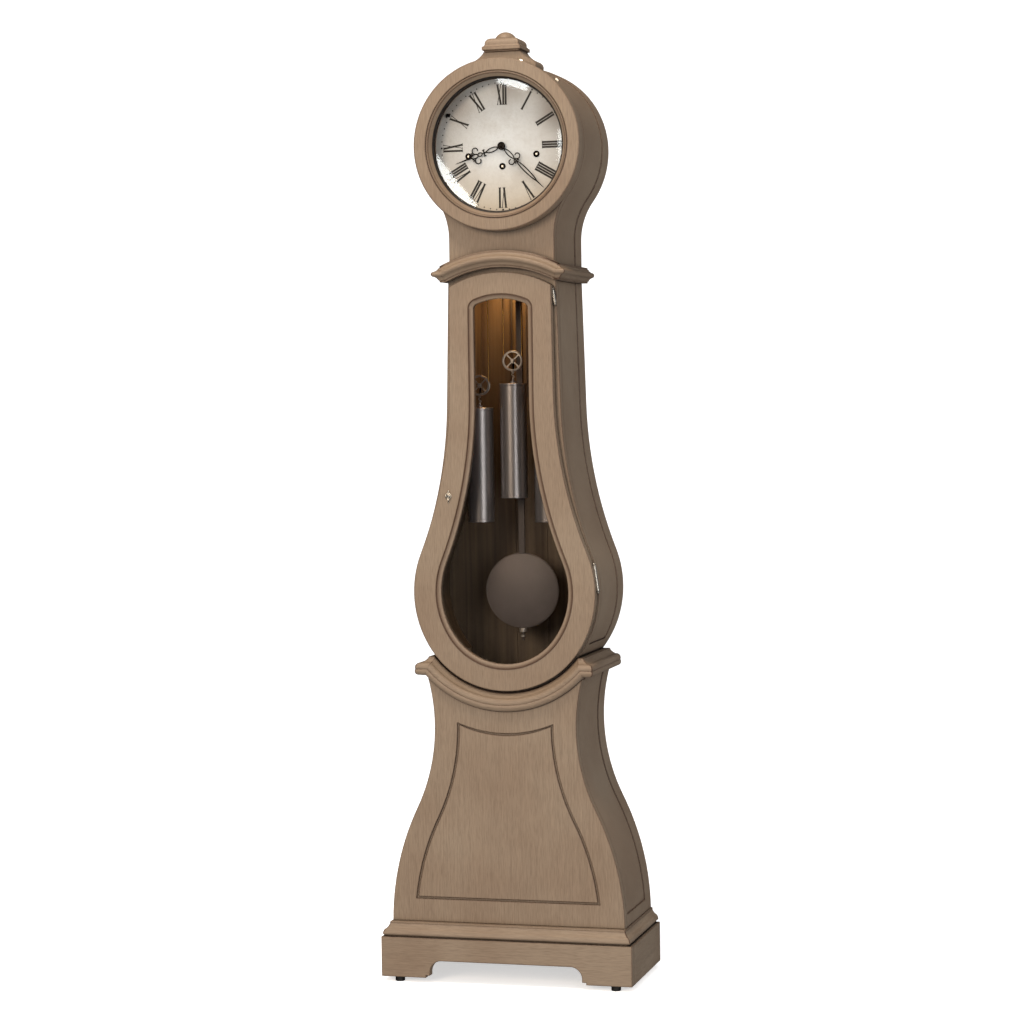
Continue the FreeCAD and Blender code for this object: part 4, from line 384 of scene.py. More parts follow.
# %% [markdown]
# A warm spot stands for the bulb's beam inside the waist. The world gives the ambient
# light. The camera alone sees it brighter, as white as the cove.

# %% The bulb's beam and the pale room
BULB_PLACE = (-0.015, 0.055, 1.67)
BULB_AIM = (0.01, 0.13, 1.46)
ROOM_LIGHT = 0.75
ROOM_SEEN = 1.1

beam = bpy.data.lights.new("waist_bulb", "SPOT")
beam.energy = 4.6
beam.color = colour("#FFCB88")[:3]
beam.shadow_soft_size = 0.012
beam.spot_size = radians(110)
beam.spot_blend = 0.8
hung("waist_bulb", beam, BULB_PLACE, BULB_AIM)
world = bpy.data.worlds.new("pale_studio")
world.use_nodes = True
sky = world.node_tree
seen = add(sky, "LightPath").outputs["Is Camera Ray"]
put(sky, sky.nodes["Background"].inputs,
    {"Color": "#FBFBFF", "Strength": spread(sky, seen, 0, 1, ROOM_LIGHT, ROOM_SEEN)})
world.cycles_visibility.glossy = False
bpy.context.scene.world = world
bpy.context.scene.view_settings.view_transform = "Standard"
print("room lit", ROOM_LIGHT)

# %% [markdown]
# ## Limed wood
# The case is stained brown, then wiped with a pale lime wax, which stays on the flats and
# is rubbed through on every edge. Four things give that look. Slow clouds shift the tone of
# a board. Fine streaks follow the grain. Brown shows where the surface turns a corner,
# found by comparing the true normal with a rounded one. Dark glaze and painted shade
# gather in hollows, grooves and gaps, found by how much of the surroundings a spot can
# see; this darkening paints the shade that falls there.
#
# Real pores are 0.2 mm wide. They are drawn 1.2 mm wide, so that they show from six metres.

# %% Limed wood, with its grain along X, Y or Z
PORE_MM = 1.2
PORE_LONG = 18
PORE_DARK = 0.3
STREAK_MM = 3.2
STREAK_LONG_MM = 160.0
CLOUD_MM = 170.0
EDGE_MM = 3.4
# The dark colour, reach and strength of the glaze and painted shade in hollows and gaps.
GLAZE_AND_SHADE_MM = 9.0
EDGE_BARED = 0.95
GLAZE_AND_SHADE_DARK = 0.95
STAIN, GLAZE_AND_SHADE, PORE = "#513622", "#21170F", "#54402E"


def along(axis, across_mm, long_mm):
    """Mapping scales for streaks this wide and this long, per metre."""
    wide, long = 1000 / across_mm, 1000 / long_mm
    return tuple(long if letter == axis else wide for letter in "XYZ")


def limed_wood(name, axis, pale="#8A7863", deep="#826E59"):
    """Pale limed wood: it gives the eye a dry, streaky face and brown-rubbed edges."""
    material, tree = begun(name)
    where = spot(tree)
    cloud = noise(tree, where, 1000 / CLOUD_MM)
    tone = layer(tree, deep, pale, cloud, 0.34, 0.66)
    streak = noise(tree, where, along(axis, STREAK_MM, STREAK_LONG_MM), 4.0, Roughness=0.65)
    tone = blend(tree, 1.0, tone, spread(tree, streak, 0.3, 0.7, 0.9, 1.08), "MULTIPLY")
    pore = noise(tree, where, along(axis, PORE_MM, PORE_MM * PORE_LONG), 1.0)
    pores = spread(tree, pore, 0.42, 0.7)
    tone = layer(tree, tone, PORE, pores, 0, 1, PORE_DARK)
    softened = add(tree, "Bevel", {"Radius": EDGE_MM * MM}, samples=4)
    true = add(tree, "NewGeometry").outputs["True Normal"]
    agree = add(tree, "VectorMath", {0: softened.outputs["Normal"], 1: true},
                operation="DOT_PRODUCT").outputs["Value"]
    tone = layer(tree, tone, STAIN, agree, 0.995, 0.93, EDGE_BARED)
    # Painted shade: ambient occlusion darkens hollows, grooves and gaps towards the dark glaze
    # colour, as shade would.
    hollow_shade = add(tree, "AmbientOcclusion", {"Distance": GLAZE_AND_SHADE_MM * MM}, samples=4)
    tone = layer(tree, tone, GLAZE_AND_SHADE, hollow_shade.outputs["AO"], 0.8, 0.3, GLAZE_AND_SHADE_DARK)
    return coated(material, Base_Color=tone,
                  Roughness=spread(tree, streak, 0.3, 0.7, 0.5, 0.62),
                  Normal=bump(tree, 0.25, 0.3, pores, True,
                              Normal=softened.outputs["Normal"]))


upright_wood = limed_wood("limed_wood_upright", "Z")
level_wood = limed_wood("limed_wood_level", "X")
deep_wood = limed_wood("limed_wood_side_rail", "Y")
print("limed wood, three grain directions")

# %% [markdown]
# ## Wood inside, metals, plastic and glass
# The inside is pine with a brown stain. Metals keep their default index of refraction: tone
# and roughness follow one noise, drawn out along the brushing, or in soft clouds. The aged
# ones are less than fully metallic, because a dull film lies on them.

# %% Stained pine for the inside
RING_MM, RING_LONG_MM = 12, 420


def stained_pine():
    """Dark stained pine with broad soft rings: it gives the inside its depth."""
    material, tree = begun("stained_pine")
    ring = noise(tree, spot(tree), along("Z", RING_MM, RING_LONG_MM), 5.0, Distortion=0.4)
    tone = layer(tree, "#46382A", "#61513C", ring, 0.32, 0.68)
    return coated(material, Base_Color=tone, Roughness=0.62, Normal=bump(tree, 0.2, 0.4, ring))


inside_wood = stained_pine()
print("inside wood")

# %% Metals
BRUSH_LONG = 60
CLOUDS = (30, 30, 30)


def metal(name, tint, rough, brush=None, brush_mm=1.2, uneven=0.1, dull="#000000",
          dullness=0.0, metallic=1.0, grooves=0.03):
    """A metal with brush lines along an axis, or with soft clouds."""
    material, tree = begun(name)
    scales = along(brush, brush_mm, brush_mm * BRUSH_LONG) if brush else CLOUDS
    lines = noise(tree, spot(tree), scales, 3.0)
    shade = blend(tree, spread(tree, lines, 0.35, 0.65, dullness, 0.0), tint, dull)
    return coated(material, Base_Color=shade, Metallic=metallic,
                  Roughness=spread(tree, lines, 0.3, 0.7, rough - uneven, rough + uneven),
                  Normal=bump(tree, grooves, 0.1, lines))


# Bright plate with a fingered film, for the key, the lock and the hinges.
nickel = metal("nickel_plate", "#CFC9BE", 0.3, metallic=0.85)
# Duller plate, for the pulleys and hooks: it shows as warm grey, with soft lights.
aged_nickel = metal("aged_nickel_plate", "#A9A198", 0.46, uneven=0.06, metallic=0.8)
# Brushed along the shell, so that a lamp becomes one tall streak down each weight.
weight_nickel = metal("brushed_dark_nickel", "#989290", 0.33, "Z", 5.0, uneven=0.02,
                      dull="#6A6462", dullness=0.2, metallic=0.85, grooves=0.0)
# Nearly matt, so that the bob reads as one dark disc.
pewter = metal("dark_pewter", "#5C534E", 0.5, uneven=0.03, dull="#4E4641", dullness=0.3,
               metallic=0.35)
# Drawn steel with an oxide skin: a dull grey rod.
rod_steel = metal("grey_steel", "#4E453F", 0.58, "Z", 3.0, uneven=0.04, dull="#433B35",
                  dullness=0.3, metallic=0.3)
# Rolled sheet, for the movement's plates.
brass = metal("rolled_brass", "#C9A05A", 0.3, "X", 1.0, dull="#7A5A28", dullness=0.3)
# Heat-blackened steel: the hands stand out flat against the pale dial.
blackened = metal("blackened_steel", "#1B1918", 0.42)
# Stranded bronze, seen as a thin warm line.
cable_bronze = metal("bronze_cable", "#B08A50", 0.35)
print("metals")

# %% Plastic, the frosted bulb and window glass
BULB_GLOW = 220.0


def simple(name, tint, second, rough, grain_mm, **more):
    """An even material whose tone and surface vary a little, over grains this wide."""
    material, tree = begun(name)
    grain = noise(tree, spot(tree), 1000 / grain_mm)
    return coated(material, Base_Color=blend(tree, grain, tint, second),
                  Roughness=rough, Normal=bump(tree, 0.1, 0.1, grain), **more)


def window_glass():
    """Thin clear glass: it mirrors one thirtieth of the light and passes the rest."""
    material, _ = begun("clear_float_glass")
    return coated(material, Base_Color="#F4F8F7", Metallic=1.0, Roughness=0.06, Alpha=0.035)


glide_plastic = simple("moulded_polyamide", "#161616", "#1E1E1D", 0.5, 1.5)
bulb_glass = simple("frosted_bulb", "#FFD9A0", "#FFE2B4", 0.4, 4.0,
                    Emission_Color="#FF9B3C", Emission_Strength=BULB_GLOW)
glass = window_glass()
print("plastic, bulb and glass")

# %% [markdown]
# ## Dial paint
# The dial is steel under cream paint. It is pale at the middle and darker towards the rim,
# with three brown patches near the top edge: age, and painted shade of the bezel. It is
# warmer along the bottom, with a fine speckle everywhere.

# %% Dial paint, with age and painted shade
AGE_AND_SHADE_PATCHES = ((-0.108, 1.985, 0.055), (0.118, 1.965, 0.05), (0.02, 2.03, 0.05))


def away_from(tree, where, x, z):
    """How far a spot of the dial is from a point of its plane."""
    flat = add(tree, "Mapping", {"Vector": where, "Location": (-x, 0, -z), "Scale": (1, 0, 1)})
    far = add(tree, "VectorMath", {0: flat.outputs["Vector"]}, operation="LENGTH")
    return far.outputs["Value"]


def aged_and_shaded_dial():
    """Cream dial paint: age and painted shade darken its rim and top, and its bottom is
    warmer.
    """
    material, tree = begun("aged_dial_paint")
    where = spot(tree)
    cloud = noise(tree, where, 14.0, 4.0, Roughness=0.6)
    fine = noise(tree, where, 160.0, 3.0)
    out_by = away_from(tree, where, 0, DIAL_HEIGHT)
    height = add(tree, "SeparateXYZ", {0: where}).outputs["Z"]
    # Darker towards the rim: age, and painted shade of the bezel.
    tone = layer(tree, "#CCCECB", "#B9B5AC", out_by, 0.03, 0.16)
    tone = layer(tree, tone, "#C0B196", height, 1.86, 1.75, 0.6)
    tone = layer(tree, tone, "#9C9182", cloud, 0.5, 0.72, 0.35)
    # Brown patches near the top edge: age, and painted shade of the bezel.
    for x, z, size in AGE_AND_SHADE_PATCHES:
        tone = layer(tree, tone, "#8E8276", away_from(tree, where, x, z), size,
                     size * 0.2, 0.55)
    tone = layer(tree, tone, "#8F8570", fine, 0.45, 0.75, 0.16)
    return coated(material, Base_Color=tone, Roughness=0.55, Normal=bump(tree, 0.1, 0.1, fine))


dial_paint = aged_and_shaded_dial()
print("dial paint")

# %% [markdown]
# ## Dressing the nodes
# Every node has a slot, which names its material. Rails across the front have their grain
# along X, and rails that run back along the sides have it along Y.

# %% A finish for every node
FINISHES = dict(limed_wood=upright_wood, raw_pine=inside_wood, black_plastic=glide_plastic,
                painted_dial=dial_paint, clear_glass=glass, nickel=nickel, brass=brass,
                black_steel=blackened, dark_nickel=weight_nickel, pewter=pewter,
                grey_steel=rod_steel, bronze_cable=cable_bronze, lamp_glass=bulb_glass)
GRAINS = {}
for rail in ("plinth", "base_mould", "capital", "cornice"):
    GRAINS[rail + "_front"] = level_wood
    GRAINS[rail + "_sides"] = deep_wood


def dress(thing, material):
    """Give an object one material."""
    thing.data.materials.clear()
    thing.data.materials.append(material)


SLOTS = {name: node.data.materials[0].name.split(".")[0] for name, node in nodes.items()}
for name, node in nodes.items():
    dress(node, GRAINS.get(name, FINISHES[SLOTS[name]]))
    print(name, SLOTS[name], node.data.materials[0].name)

# %% [markdown]
# The lamp's node also holds the bulb's black holder and the gland for its cord in the back
# boards. Neither glows, so their faces get a second material.

# %% The lamp's holder and the cord's gland
BULB_TOP = 1.748
BACK_FACE = 0.13
lamp_mesh = nodes["interior_lamp"].data
second_finish(lamp_mesh, glide_plastic, lambda face: face.center.z > BULB_TOP - HAIR
              or face.center.y > BACK_FACE)
print("faces of the holder and gland", sum(f.material_index for f in lamp_mesh.polygons))

# %% [markdown]
# ## Ways of working that many pieces share
# Most of a clock's fittings are turned on a lathe, and Blender's spin does the same. One
# vertex is extruded along half of the section and spun about an axis. The doubles are
# merged where the turn closes, and the faces are turned outwards. A section is written in
# millimetres, as (radius, distance along the axis). The edges of real wood and metal are
# never quite sharp, so a small bevel is applied, which catches the light as they do.

# %% Helpers for turned pieces and rounded edges
WALL_Y = cad_box[1].y
AXES = {"Y": Vector((0, 1, 0)), "Z": Vector((0, 0, 1))}
SMOOTH_BELOW = 35


def depth(mm):
    """The Y of a depth in millimetres, measured forwards from the wall."""
    return WALL_Y - mm * MM


def merge_doubles():
    """Merge vertices of the whole mesh that lie together."""
    everything()
    bpy.ops.mesh.remove_doubles(threshold=HAIR)


def smooth(degrees=SMOOTH_BELOW):
    """Shade smoothly over every edge that turns less than this."""
    bpy.ops.object.shade_smooth_by_angle(angle=radians(degrees))


def both_ends(half):
    """A whole section from its half: the other end is its mirror image."""
    return half + [(r, -a) for r, a in reversed(half) if a]


def turned(name, section, centre=(0, 0, 0), axis="Y", steps=72):
    """A turned piece from its section of (radius, along), in mm from the centre."""
    places = [Vector(centre) + (Vector((r, 0, 0)) + AXES[axis] * a) * MM for r, a in section]
    thing = fresh(bpy.ops.mesh.primitive_plane_add, size=MM)
    thing.name = name
    edit(False)
    bpy.ops.mesh.select_mode(type="VERT")
    bpy.ops.mesh.merge(type="CENTER")
    bpy.ops.transform.translate(value=places[0])
    for before, after in zip(places, places[1:]):
        extrude(after - before)
    everything()
    bpy.ops.mesh.spin(steps=steps, angle=tau, center=centre, axis=AXES[axis])
    merge_doubles()
    face_outwards()
    done()
    smooth()
    return thing


def flattened(thing):
    """Smooth the rounds of a piece, but let its big faces shade flat."""
    only(thing)
    smooth()
    apply_modifier(thing, "WEIGHTED_NORMAL", keep_sharp=True)
    return thing


def rounded(thing, width_mm, segments=2, above=30):
    """Round a piece's sharp edges with an applied bevel."""
    apply_modifier(thing, "BEVEL", width=width_mm * MM, segments=segments,
                   limit_method="ANGLE", angle_limit=radians(above))
    return flattened(thing)


def block(sizes, middle=(0, 0, 0)):
    """A box of these sizes about a point, in mm."""
    thing = fresh(bpy.ops.mesh.primitive_cube_add, size=1, location=Vector(middle) * MM)
    thing.scale = Vector(sizes) * MM
    settle()
    return thing


def joined(name, things):
    """One object from several, at the origin."""
    only(*things)
    bpy.ops.object.join()
    thing = bpy.context.object
    thing.name = name
    settle()
    return thing


def fitted(thing, body, material, stands_for=()):
    """Give a finished piece its body and its finish, and hide what it replaces."""
    dress(thing, material)
    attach(thing, body)
    if stands_for:
        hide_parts(*stands_for)
    print(thing.name, "on", body, "faces", len(thing.data.polygons))


def body_of(name):
    """The body that a node rides on."""
    return next(body for body, members in frame["record"]["behaviour"]["bodies"].items()
                if name in members)


def copied(name, ending):
    """A copy of a node with its loose triangles merged, left in edit mode."""
    piece = placed(name + ending, nodes[name].data.copy())
    only(piece)
    edit(False)
    merge_doubles()
    return piece


print("workshop ready")

# %% [markdown]
# ## Wooden pieces with eased edges
# The boards have the right shapes, but their corners are knife sharp, and a lime finish
# shows most where an edge has been sanded round. Each wooden node's mesh is copied, merged,
# freed of needless edges and bevelled, the mouldings less than the boards. The wax is only
# put on outside, so a board's inner face is given the brown stain.

# %% Copies of the wooden nodes, with their edges rounded
BOARD_ROUND_MM = 1.1
MOULD_ROUND_MM = 0.5
FLAT_WITHIN = radians(0.5)
MOULDINGS = ["base_mould_front", "base_mould_sides", "capital_front", "capital_sides",
             "cornice_front", "cornice_sides", "crest_cap", "door_glass_bead",
             "bezel_glass_ring", "base_front"]
TO_RIGHT, TO_LEFT, TO_BACK = Vector((1, 0, 0)), Vector((-1, 0, 0)), Vector((0, 1, 0))
LINED = {"waist_side_left": TO_RIGHT, "waist_side_right": TO_LEFT, "waist_front": TO_BACK,
         "base_side_left": TO_RIGHT, "base_side_right": TO_LEFT, "base_front": TO_BACK,
         "hood_front": TO_BACK}
FACES_THAT_WAY = 0.7


def eased(name, width_mm):
    """A node's copy with rounded edges."""
    piece = copied(name, "_eased")
    bpy.ops.mesh.dissolve_limited(angle_limit=FLAT_WITHIN)
    done()
    return rounded(piece, width_mm)


wooden = [name for name in nodes if SLOTS[name] == "limed_wood" and name != "bezel"]
for name in wooden:
    piece = eased(name, MOULD_ROUND_MM if name in MOULDINGS else BOARD_ROUND_MM)
    fitted(piece, body_of(name), GRAINS.get(name, upright_wood), [name])
    if name in LINED:
        second_finish(piece.data, inside_wood,
                      lambda face: face.normal.dot(LINED[name]) > FACES_THAT_WAY)

# %% [markdown]
# ## The line round the window
# A small dark bead runs where the door's flat face meets its sloping lip. Its darker tone
# paints the brown line of that quirk: glaze, and painted shade of the groove. Those edges
# are kept from a copy of the door, turned into a curve, and given a round section.

# %% Bead round the window
BEAD_MM = 1.2
LOOKS_AHEAD = 0.99
SLOPES = (0.5, 0.97)
# Darker limed wood: the bead paints glaze and shade along the quirk.
glazed_bead = limed_wood("glazed_bead", "Z", pale="#66503D", deep="#5A4433")
outline = copied("door_frame", "_outline")
done()
slopes = {}
for face in outline.data.polygons:
    for key in face.edge_keys:
        slopes.setdefault(key, []).append(-face.normal.y)


def on_the_lip(edge):
    """Whether an edge parts a face that looks ahead from a sloping one."""
    low, high = min(slopes[edge.key]), max(slopes[edge.key])
    return high > LOOKS_AHEAD and SLOPES[0] < low < SLOPES[1]


pick_edges(outline.data, on_the_lip)
bpy.ops.mesh.select_all(action="INVERT")
bpy.ops.mesh.delete(type="EDGE")
done()
bpy.ops.object.convert(target="CURVE")
path = bpy.context.object.data
path.bevel_depth = BEAD_MM * MM
path.bevel_resolution = 2
bpy.ops.object.convert(target="MESH")
bpy.ops.object.shade_smooth()
window_bead = bpy.context.object
window_bead.name = "window_bead"
fitted(window_bead, "waist_door", glazed_bead)

# %% [markdown]
# ## The bezel and its ring of painted shadow
# The bezel's section runs over a flat face, into a quirk, over a bead, and down a slope to
# the glass. A thin black ring, shaped as a fillet of putty, closes the joint between wood
# and glass. Its black is painted shadow: the deep shade of that joint.

# %% Bezel, and a black ring of painted shadow
BEZEL = [(152, 32.5), (192.5, 32.5), (192.5, 3), (192.1, 1.5), (191, 0.4), (189.5, 0),
         (165, 0), (164.6, 0.4), (164, 2), (163.4, 2), (163.1, 0.9), (162.4, 0.3),
         (161.2, 0.1), (160, 0.5), (159.3, 1.4), (159, 2.8), (158.2, 3.2), (149.6, 15.4),
         (149.2, 16.2), (149.2, 19), (152, 19), (152, 32.5)]
# Section of the black ring that paints the deep shadow in the joint between bezel and glass.
SHADOW_RING = [(148.7, 15.9), (148.8, 14.9), (151.1, 11.9), (151.7, 11.7), (152.2, 12.2),
         (152, 13), (149.9, 16.6), (148.7, 15.9)]
BEZEL_MIDDLE = (0, depth(277.2), DIAL_HEIGHT)
ROUND_STEPS = 144
painted_shadow_black = simple("glazing_putty", "#14100D", "#1F1915", 0.6, 3.0)
bezel = turned("bezel_turned", BEZEL, BEZEL_MIDDLE, steps=ROUND_STEPS)
fitted(flattened(bezel), "dial_door", upright_wood, ["bezel"])
shadow_ring_piece = turned("bezel_putty", SHADOW_RING, BEZEL_MIDDLE, steps=ROUND_STEPS)
fitted(shadow_ring_piece, "dial_door", painted_shadow_black)

# %% [markdown]
# ## The printed dial
# The dial is a painted steel disc, printed with Roman numerals, feet towards the middle,
# and a ring of minute dots. All three letters are made from one stroke: a plane whose two
# ends are extruded and widened into serifs, then given the thickness of screen ink. It is
# copied thick or thin, leant for V and X, and set round the dial.

# %% One printed stroke
HEAD = Vector((0, depth(222.0), DIAL_HEIGHT))
INK_MM = 0.15
STROKE_TALL_MM = 46.0
THICK_MM = 4.6
THIN_MM = 1.6
SERIF_MM = 1.8
SERIF_FLARE_MM = 1.6
FOOT_FLARE = 1.25


def inked(thing):
    """Give a flat print the thickness of its ink, towards the front."""
    only(thing)
    edit()
    extrude((0, -INK_MM * MM, 0))
    face_outwards()
    done()
    return thing


def stroke_master(wide_mm):
    """An upright stroke about the origin, standing along Z, with its ink towards -Y."""
    stroke = fresh(bpy.ops.mesh.primitive_plane_add, size=1, rotation=UPRIGHT)
    stroke.scale = (wide_mm * MM, (STROKE_TALL_MM - SERIF_MM * 2) * MM, 1)
    settle()
    ends = stroke.data.vertices
    for way in (1, -1):
        for share, factor in ((0.6, 1 + SERIF_FLARE_MM / wide_mm), (0.4, FOOT_FLARE)):
            tip = max(v.co.z * way for v in ends)
            pick_edges(stroke.data, lambda edge: all(
                abs(ends[v].co.z * way - tip) < HAIR for v in edge.vertices))
            extrude((0, 0, SERIF_MM * share * MM * way))
            stretch((factor, 1, 1))
            done()
    return inked(stroke)


thick_stroke = stroke_master(THICK_MM)
thin_stroke = stroke_master(THIN_MM)
print("strokes", len(thick_stroke.data.polygons), "faces each")

# %% The twelve numerals
NUMERAL_INNER_MM = 92.5
LETTER_PITCH_MM = 5.6
LEANS_MM = {"I": 0.0, "V": 8.6, "X": 8.0}
NUMERALS = ["XII", "I", "II", "III", "IIII", "V", "VI", "VII", "VIII", "IX", "X", "XI"]


def letter_strokes(letter, start):
    """A letter's strokes as (master, foot, head) across the numeral."""
    end = start + LEANS_MM[letter]
    middle = (start + end) / 2
    return {"I": [(thick_stroke, start, start)],
            "V": [(thick_stroke, middle, start), (thin_stroke, middle, end)],
            "X": [(thick_stroke, end, start), (thin_stroke, start, end)]}[letter]


def numeral(text, hour):
    """All strokes of one numeral, turned to its hour."""
    strokes, at = [], 0.0
    for letter in text:
        strokes += letter_strokes(letter, at)
        at += LEANS_MM[letter] + LETTER_PITCH_MM
    width = at - LETTER_PITCH_MM
    made = []
    for master, foot, head in strokes:
        copy = placed("stroke", master.data.copy())
        lean = Matrix.Identity(4)
        lean[0][2] = (head - foot) / STROKE_TALL_MM
        turn = Matrix.Rotation(radians(30 * hour), 4, "Y")
        place = Vector(((foot + head - width) / 2, 0, NUMERAL_INNER_MM + STROKE_TALL_MM / 2))
        copy.data.transform(Matrix.Translation(HEAD) @ turn
                            @ Matrix.Translation(place * MM) @ lean)
        made.append(copy)
    return made


printed = [stroke for hour, text in enumerate(NUMERALS) for stroke in numeral(text, hour)]
ink = simple("screen_printed_ink", "#0B0A0A", "#141211", 0.5, 2.0)
fitted(joined("dial_numerals", printed), "case", ink)
for master in (thick_stroke, thin_stroke):
    bpy.data.objects.remove(master)

# %% The minute dots
DOT_RING_MM = 142.3
DOT_MM = 1.5
FIVE_DOT_MM = 2.2
dots = []
for minute in range(60):
    around = radians(6 * minute)
    place = HEAD + Vector((sin(around), 0, cos(around))) * DOT_RING_MM * MM
    size = DOT_MM if minute % 5 else FIVE_DOT_MM
    dots.append(fresh(bpy.ops.mesh.primitive_circle_add, vertices=12, fill_type="NGON",
                      radius=size * MM, location=place, rotation=UPRIGHT))
fitted(inked(joined("dial_minute_dots", dots)), "case", ink)

# %% [markdown]
# ## The winding holes
# Three arbors end behind round holes, each lined with a dark collet: a flange on the paint,
# a rounded lip and a short tube. Inside it the arbor's square shows as a pale spot.

# %% Collets and arbor squares
COLLET = [(3.6, 2), (3.6, -0.9), (4.1, -1.5), (6, -1.5), (7.2, -1), (7.4, 0),
          (6.3, 0), (6.3, 2), (3.6, 2)]
WINDING = {"left": (-79.5, -20.3), "middle": (0.0, -45.0), "right": (79.5, -20.3)}
SQUARE_MM = 4.4
SQUARE_BEHIND = Vector((0, 1.4, 0)) * MM
for side, (x, z) in WINDING.items():
    place = HEAD + Vector((x, 0, z)) * MM
    collet = turned("winding_collet_" + side, COLLET, place, steps=36)
    fitted(collet, "case", blackened)
    square = fresh(bpy.ops.mesh.primitive_cube_add, size=SQUARE_MM * MM,
                   location=place + SQUARE_BEHIND)
    square.name = "arbor_square_" + side
    edit()
    stretch((1, 1.6, 1), tuple(place))
    bpy.ops.mesh.bevel(offset=0.4 * MM, segments=1)
    done()
    settle()
    fitted(square, "drum_" + side, nickel)

# %% [markdown]
# ## The hands
# The hands are sawn from thin blackened steel: slim loops, curls and a long point. Each
# loop is a curve with a round bevel. All are joined into one mesh, flattened, and turned
# from upright to the time that they show.

# %% Wires and ribbons
RIBBON_MM = 2.8
HAND_THICK_SHARE = 0.6
CURL_SWEEP = -300


def wire(points, thick_mm, steps=6, around=False, roundness=2):
    """A round wire, bent smoothly through points in mm about the origin."""
    curve = bpy.data.curves.new("wire", "CURVE")
    curve.dimensions = "3D"
    curve.bevel_depth = thick_mm * MM / 2
    curve.bevel_resolution = roundness
    curve.use_fill_caps = True
    line = curve.splines.new("NURBS")
    line.points.add(len(points) - 1)
    for knot, point in zip(line.points, points):
        knot.co = (*(Vector(point) * MM), 1)
    line.use_cyclic_u = around
    line.use_endpoint_u = not around
    line.order_u = 3
    line.resolution_u = steps
    only(placed("wire", curve))
    bpy.ops.object.convert(target="MESH")
    bpy.ops.object.shade_smooth()
    return bpy.context.object


def ribbon(points, around=False):
    """A ribbon through points (across, up) in mm, in the hands' plane."""
    return wire([(x, 0, z) for x, z in points], RIBBON_MM, 5, around, 1)


def mirrored(points):
    """The same points on the other side of the hand."""
    return [(-x, z) for x, z in points]


def both(points):
    """A ribbon and its mirror image."""
    return [ribbon(points), ribbon(mirrored(points))]


def lens(low, high, half, share=0.5):
    """An open leaf between two heights, widest at a share of its length."""
    middle = low + (high - low) * share
    side = [(half * 0.9, low + (middle - low) * 0.45), (half * 1.15, middle),
            (half * 0.9, high - (high - middle) * 0.45)]
    return ribbon([(0, low)] + side + [(0, high)] + mirrored(side[::-1]), around=True)


def curl(x, z, radius, first):
    """Points of a curl like a C, which tightens as it runs round."""
    points = []
    for step in range(11):
        turn = radians(first + CURL_SWEEP * step / 10)
        reach = radius * (1 - 0.032 * step)
        points.append((x + reach * cos(turn), z + reach * sin(turn)))
    return points


def tapered(low, high, root, tip):
    """A solid point: a plane narrowed to a tip, with the hand's thickness."""
    middle = (low + high) / 2 * MM
    blade = fresh(bpy.ops.mesh.primitive_plane_add, size=1, rotation=UPRIGHT,
                  location=(0, 0, middle))
    blade.scale = (root * MM, (high - low) * MM, 1)
    settle()
    for vertex in blade.data.vertices:
        if vertex.co.z > middle:
            vertex.co.x *= tip / root
    edit()
    extrude((0, -MM, 0))
    everything()
    bpy.ops.transform.translate(value=(0, MM / 2, 0))
    face_outwards()
    bpy.ops.mesh.bevel(offset=0.2 * MM, segments=1)
    done()
    return blade


def finish_hand(name, parts, front_mm, clock_angle):
    """Join a hand's parts, flatten them, turn them to the time and put them in place."""
    piece = joined(name, parts)
    turn = Matrix.Rotation(radians(clock_angle), 4, "Y")
    place = Matrix.Translation((0, depth(front_mm - 0.5), HEAD.z))
    piece.data.transform(place @ turn @ Matrix.Diagonal((1, HAND_THICK_SHARE, 1, 1)))
    edit()
    face_outwards()
    done()
    smooth(40)
    print(name, "faces", len(piece.data.polygons))
    return piece


print("hand tools ready")

# %% Minute hand
MINUTE_ANGLE = 134.9
minute_parts = [lens(8, 43, 3.6), lens(47, 118, 3.4, 0.42), tapered(112, 137, 3.2, 0.9),
                tapered(41, 49, 3.0, 3.0)]
minute_parts += both(curl(9.5, 42, 7.6, 175))
minute_parts += both([(0, 50), (3.5, 48), (5.5, 50), (4.5, 53)])
minute_hand = finish_hand("minute_hand_pierced", minute_parts, 230.0, MINUTE_ANGLE)

# %% Hour hand
HOUR_ANGLE = 251.25
hour_parts = [lens(8, 40, 4.2), tapered(38, 50, 3.0, 2.2), tapered(78, 115, 4.6, 0.9),
              lens(48, 60, 3.6), lens(58, 78, 4.0, 0.4)]
hour_parts += both([(0, 44), (4, 43.5), (7.5, 46), (6, 44), (7.5, 41)])
hour_parts += both(curl(11.8, 62, 8.4, 190))
hour_parts += both([(0, 76), (4.5, 73), (8.5, 70.5), (9.5, 73.5)])
hour_hand = finish_hand("hour_hand_pierced", hour_parts, 226.0, HOUR_ANGLE)

# %% [markdown]
# ## The hands' pipes and wheels
# A hand sits on a pipe with a small wheel behind the dial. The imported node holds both, with
# a plain hand. Its copy is cut just behind that hand, and the pierced hand and a turned
# boss take the hand's place.

# %% Pipes and bosses
HOUR_BOSS = [(3.3, 0.6), (7, 0.6), (8.2, 0.2), (8.4, -0.3), (7.6, -0.7), (3.3, -0.7),
             (3.3, 0.6)]
MINUTE_BOSS = [(0, 0.6), (7.4, 0.6), (8.8, 0.2), (9.2, -0.4), (9, -1), (8.2, -1.3),
               (7.8, -1), (5.4, -1), (5, -1.6), (3.2, -1.8), (2.8, -2.6), (0, -2.8)]


def behind(name, cut_mm):
    """A copy of a node's mesh, kept only behind a depth, and closed there."""
    piece = copied(name, "_pipe")
    everything()
    bpy.ops.mesh.bisect(plane_co=(0, depth(cut_mm), 0), plane_no=(0, -1, 0),
                        clear_outer=True, use_fill=True)
    done()
    smooth()
    return piece


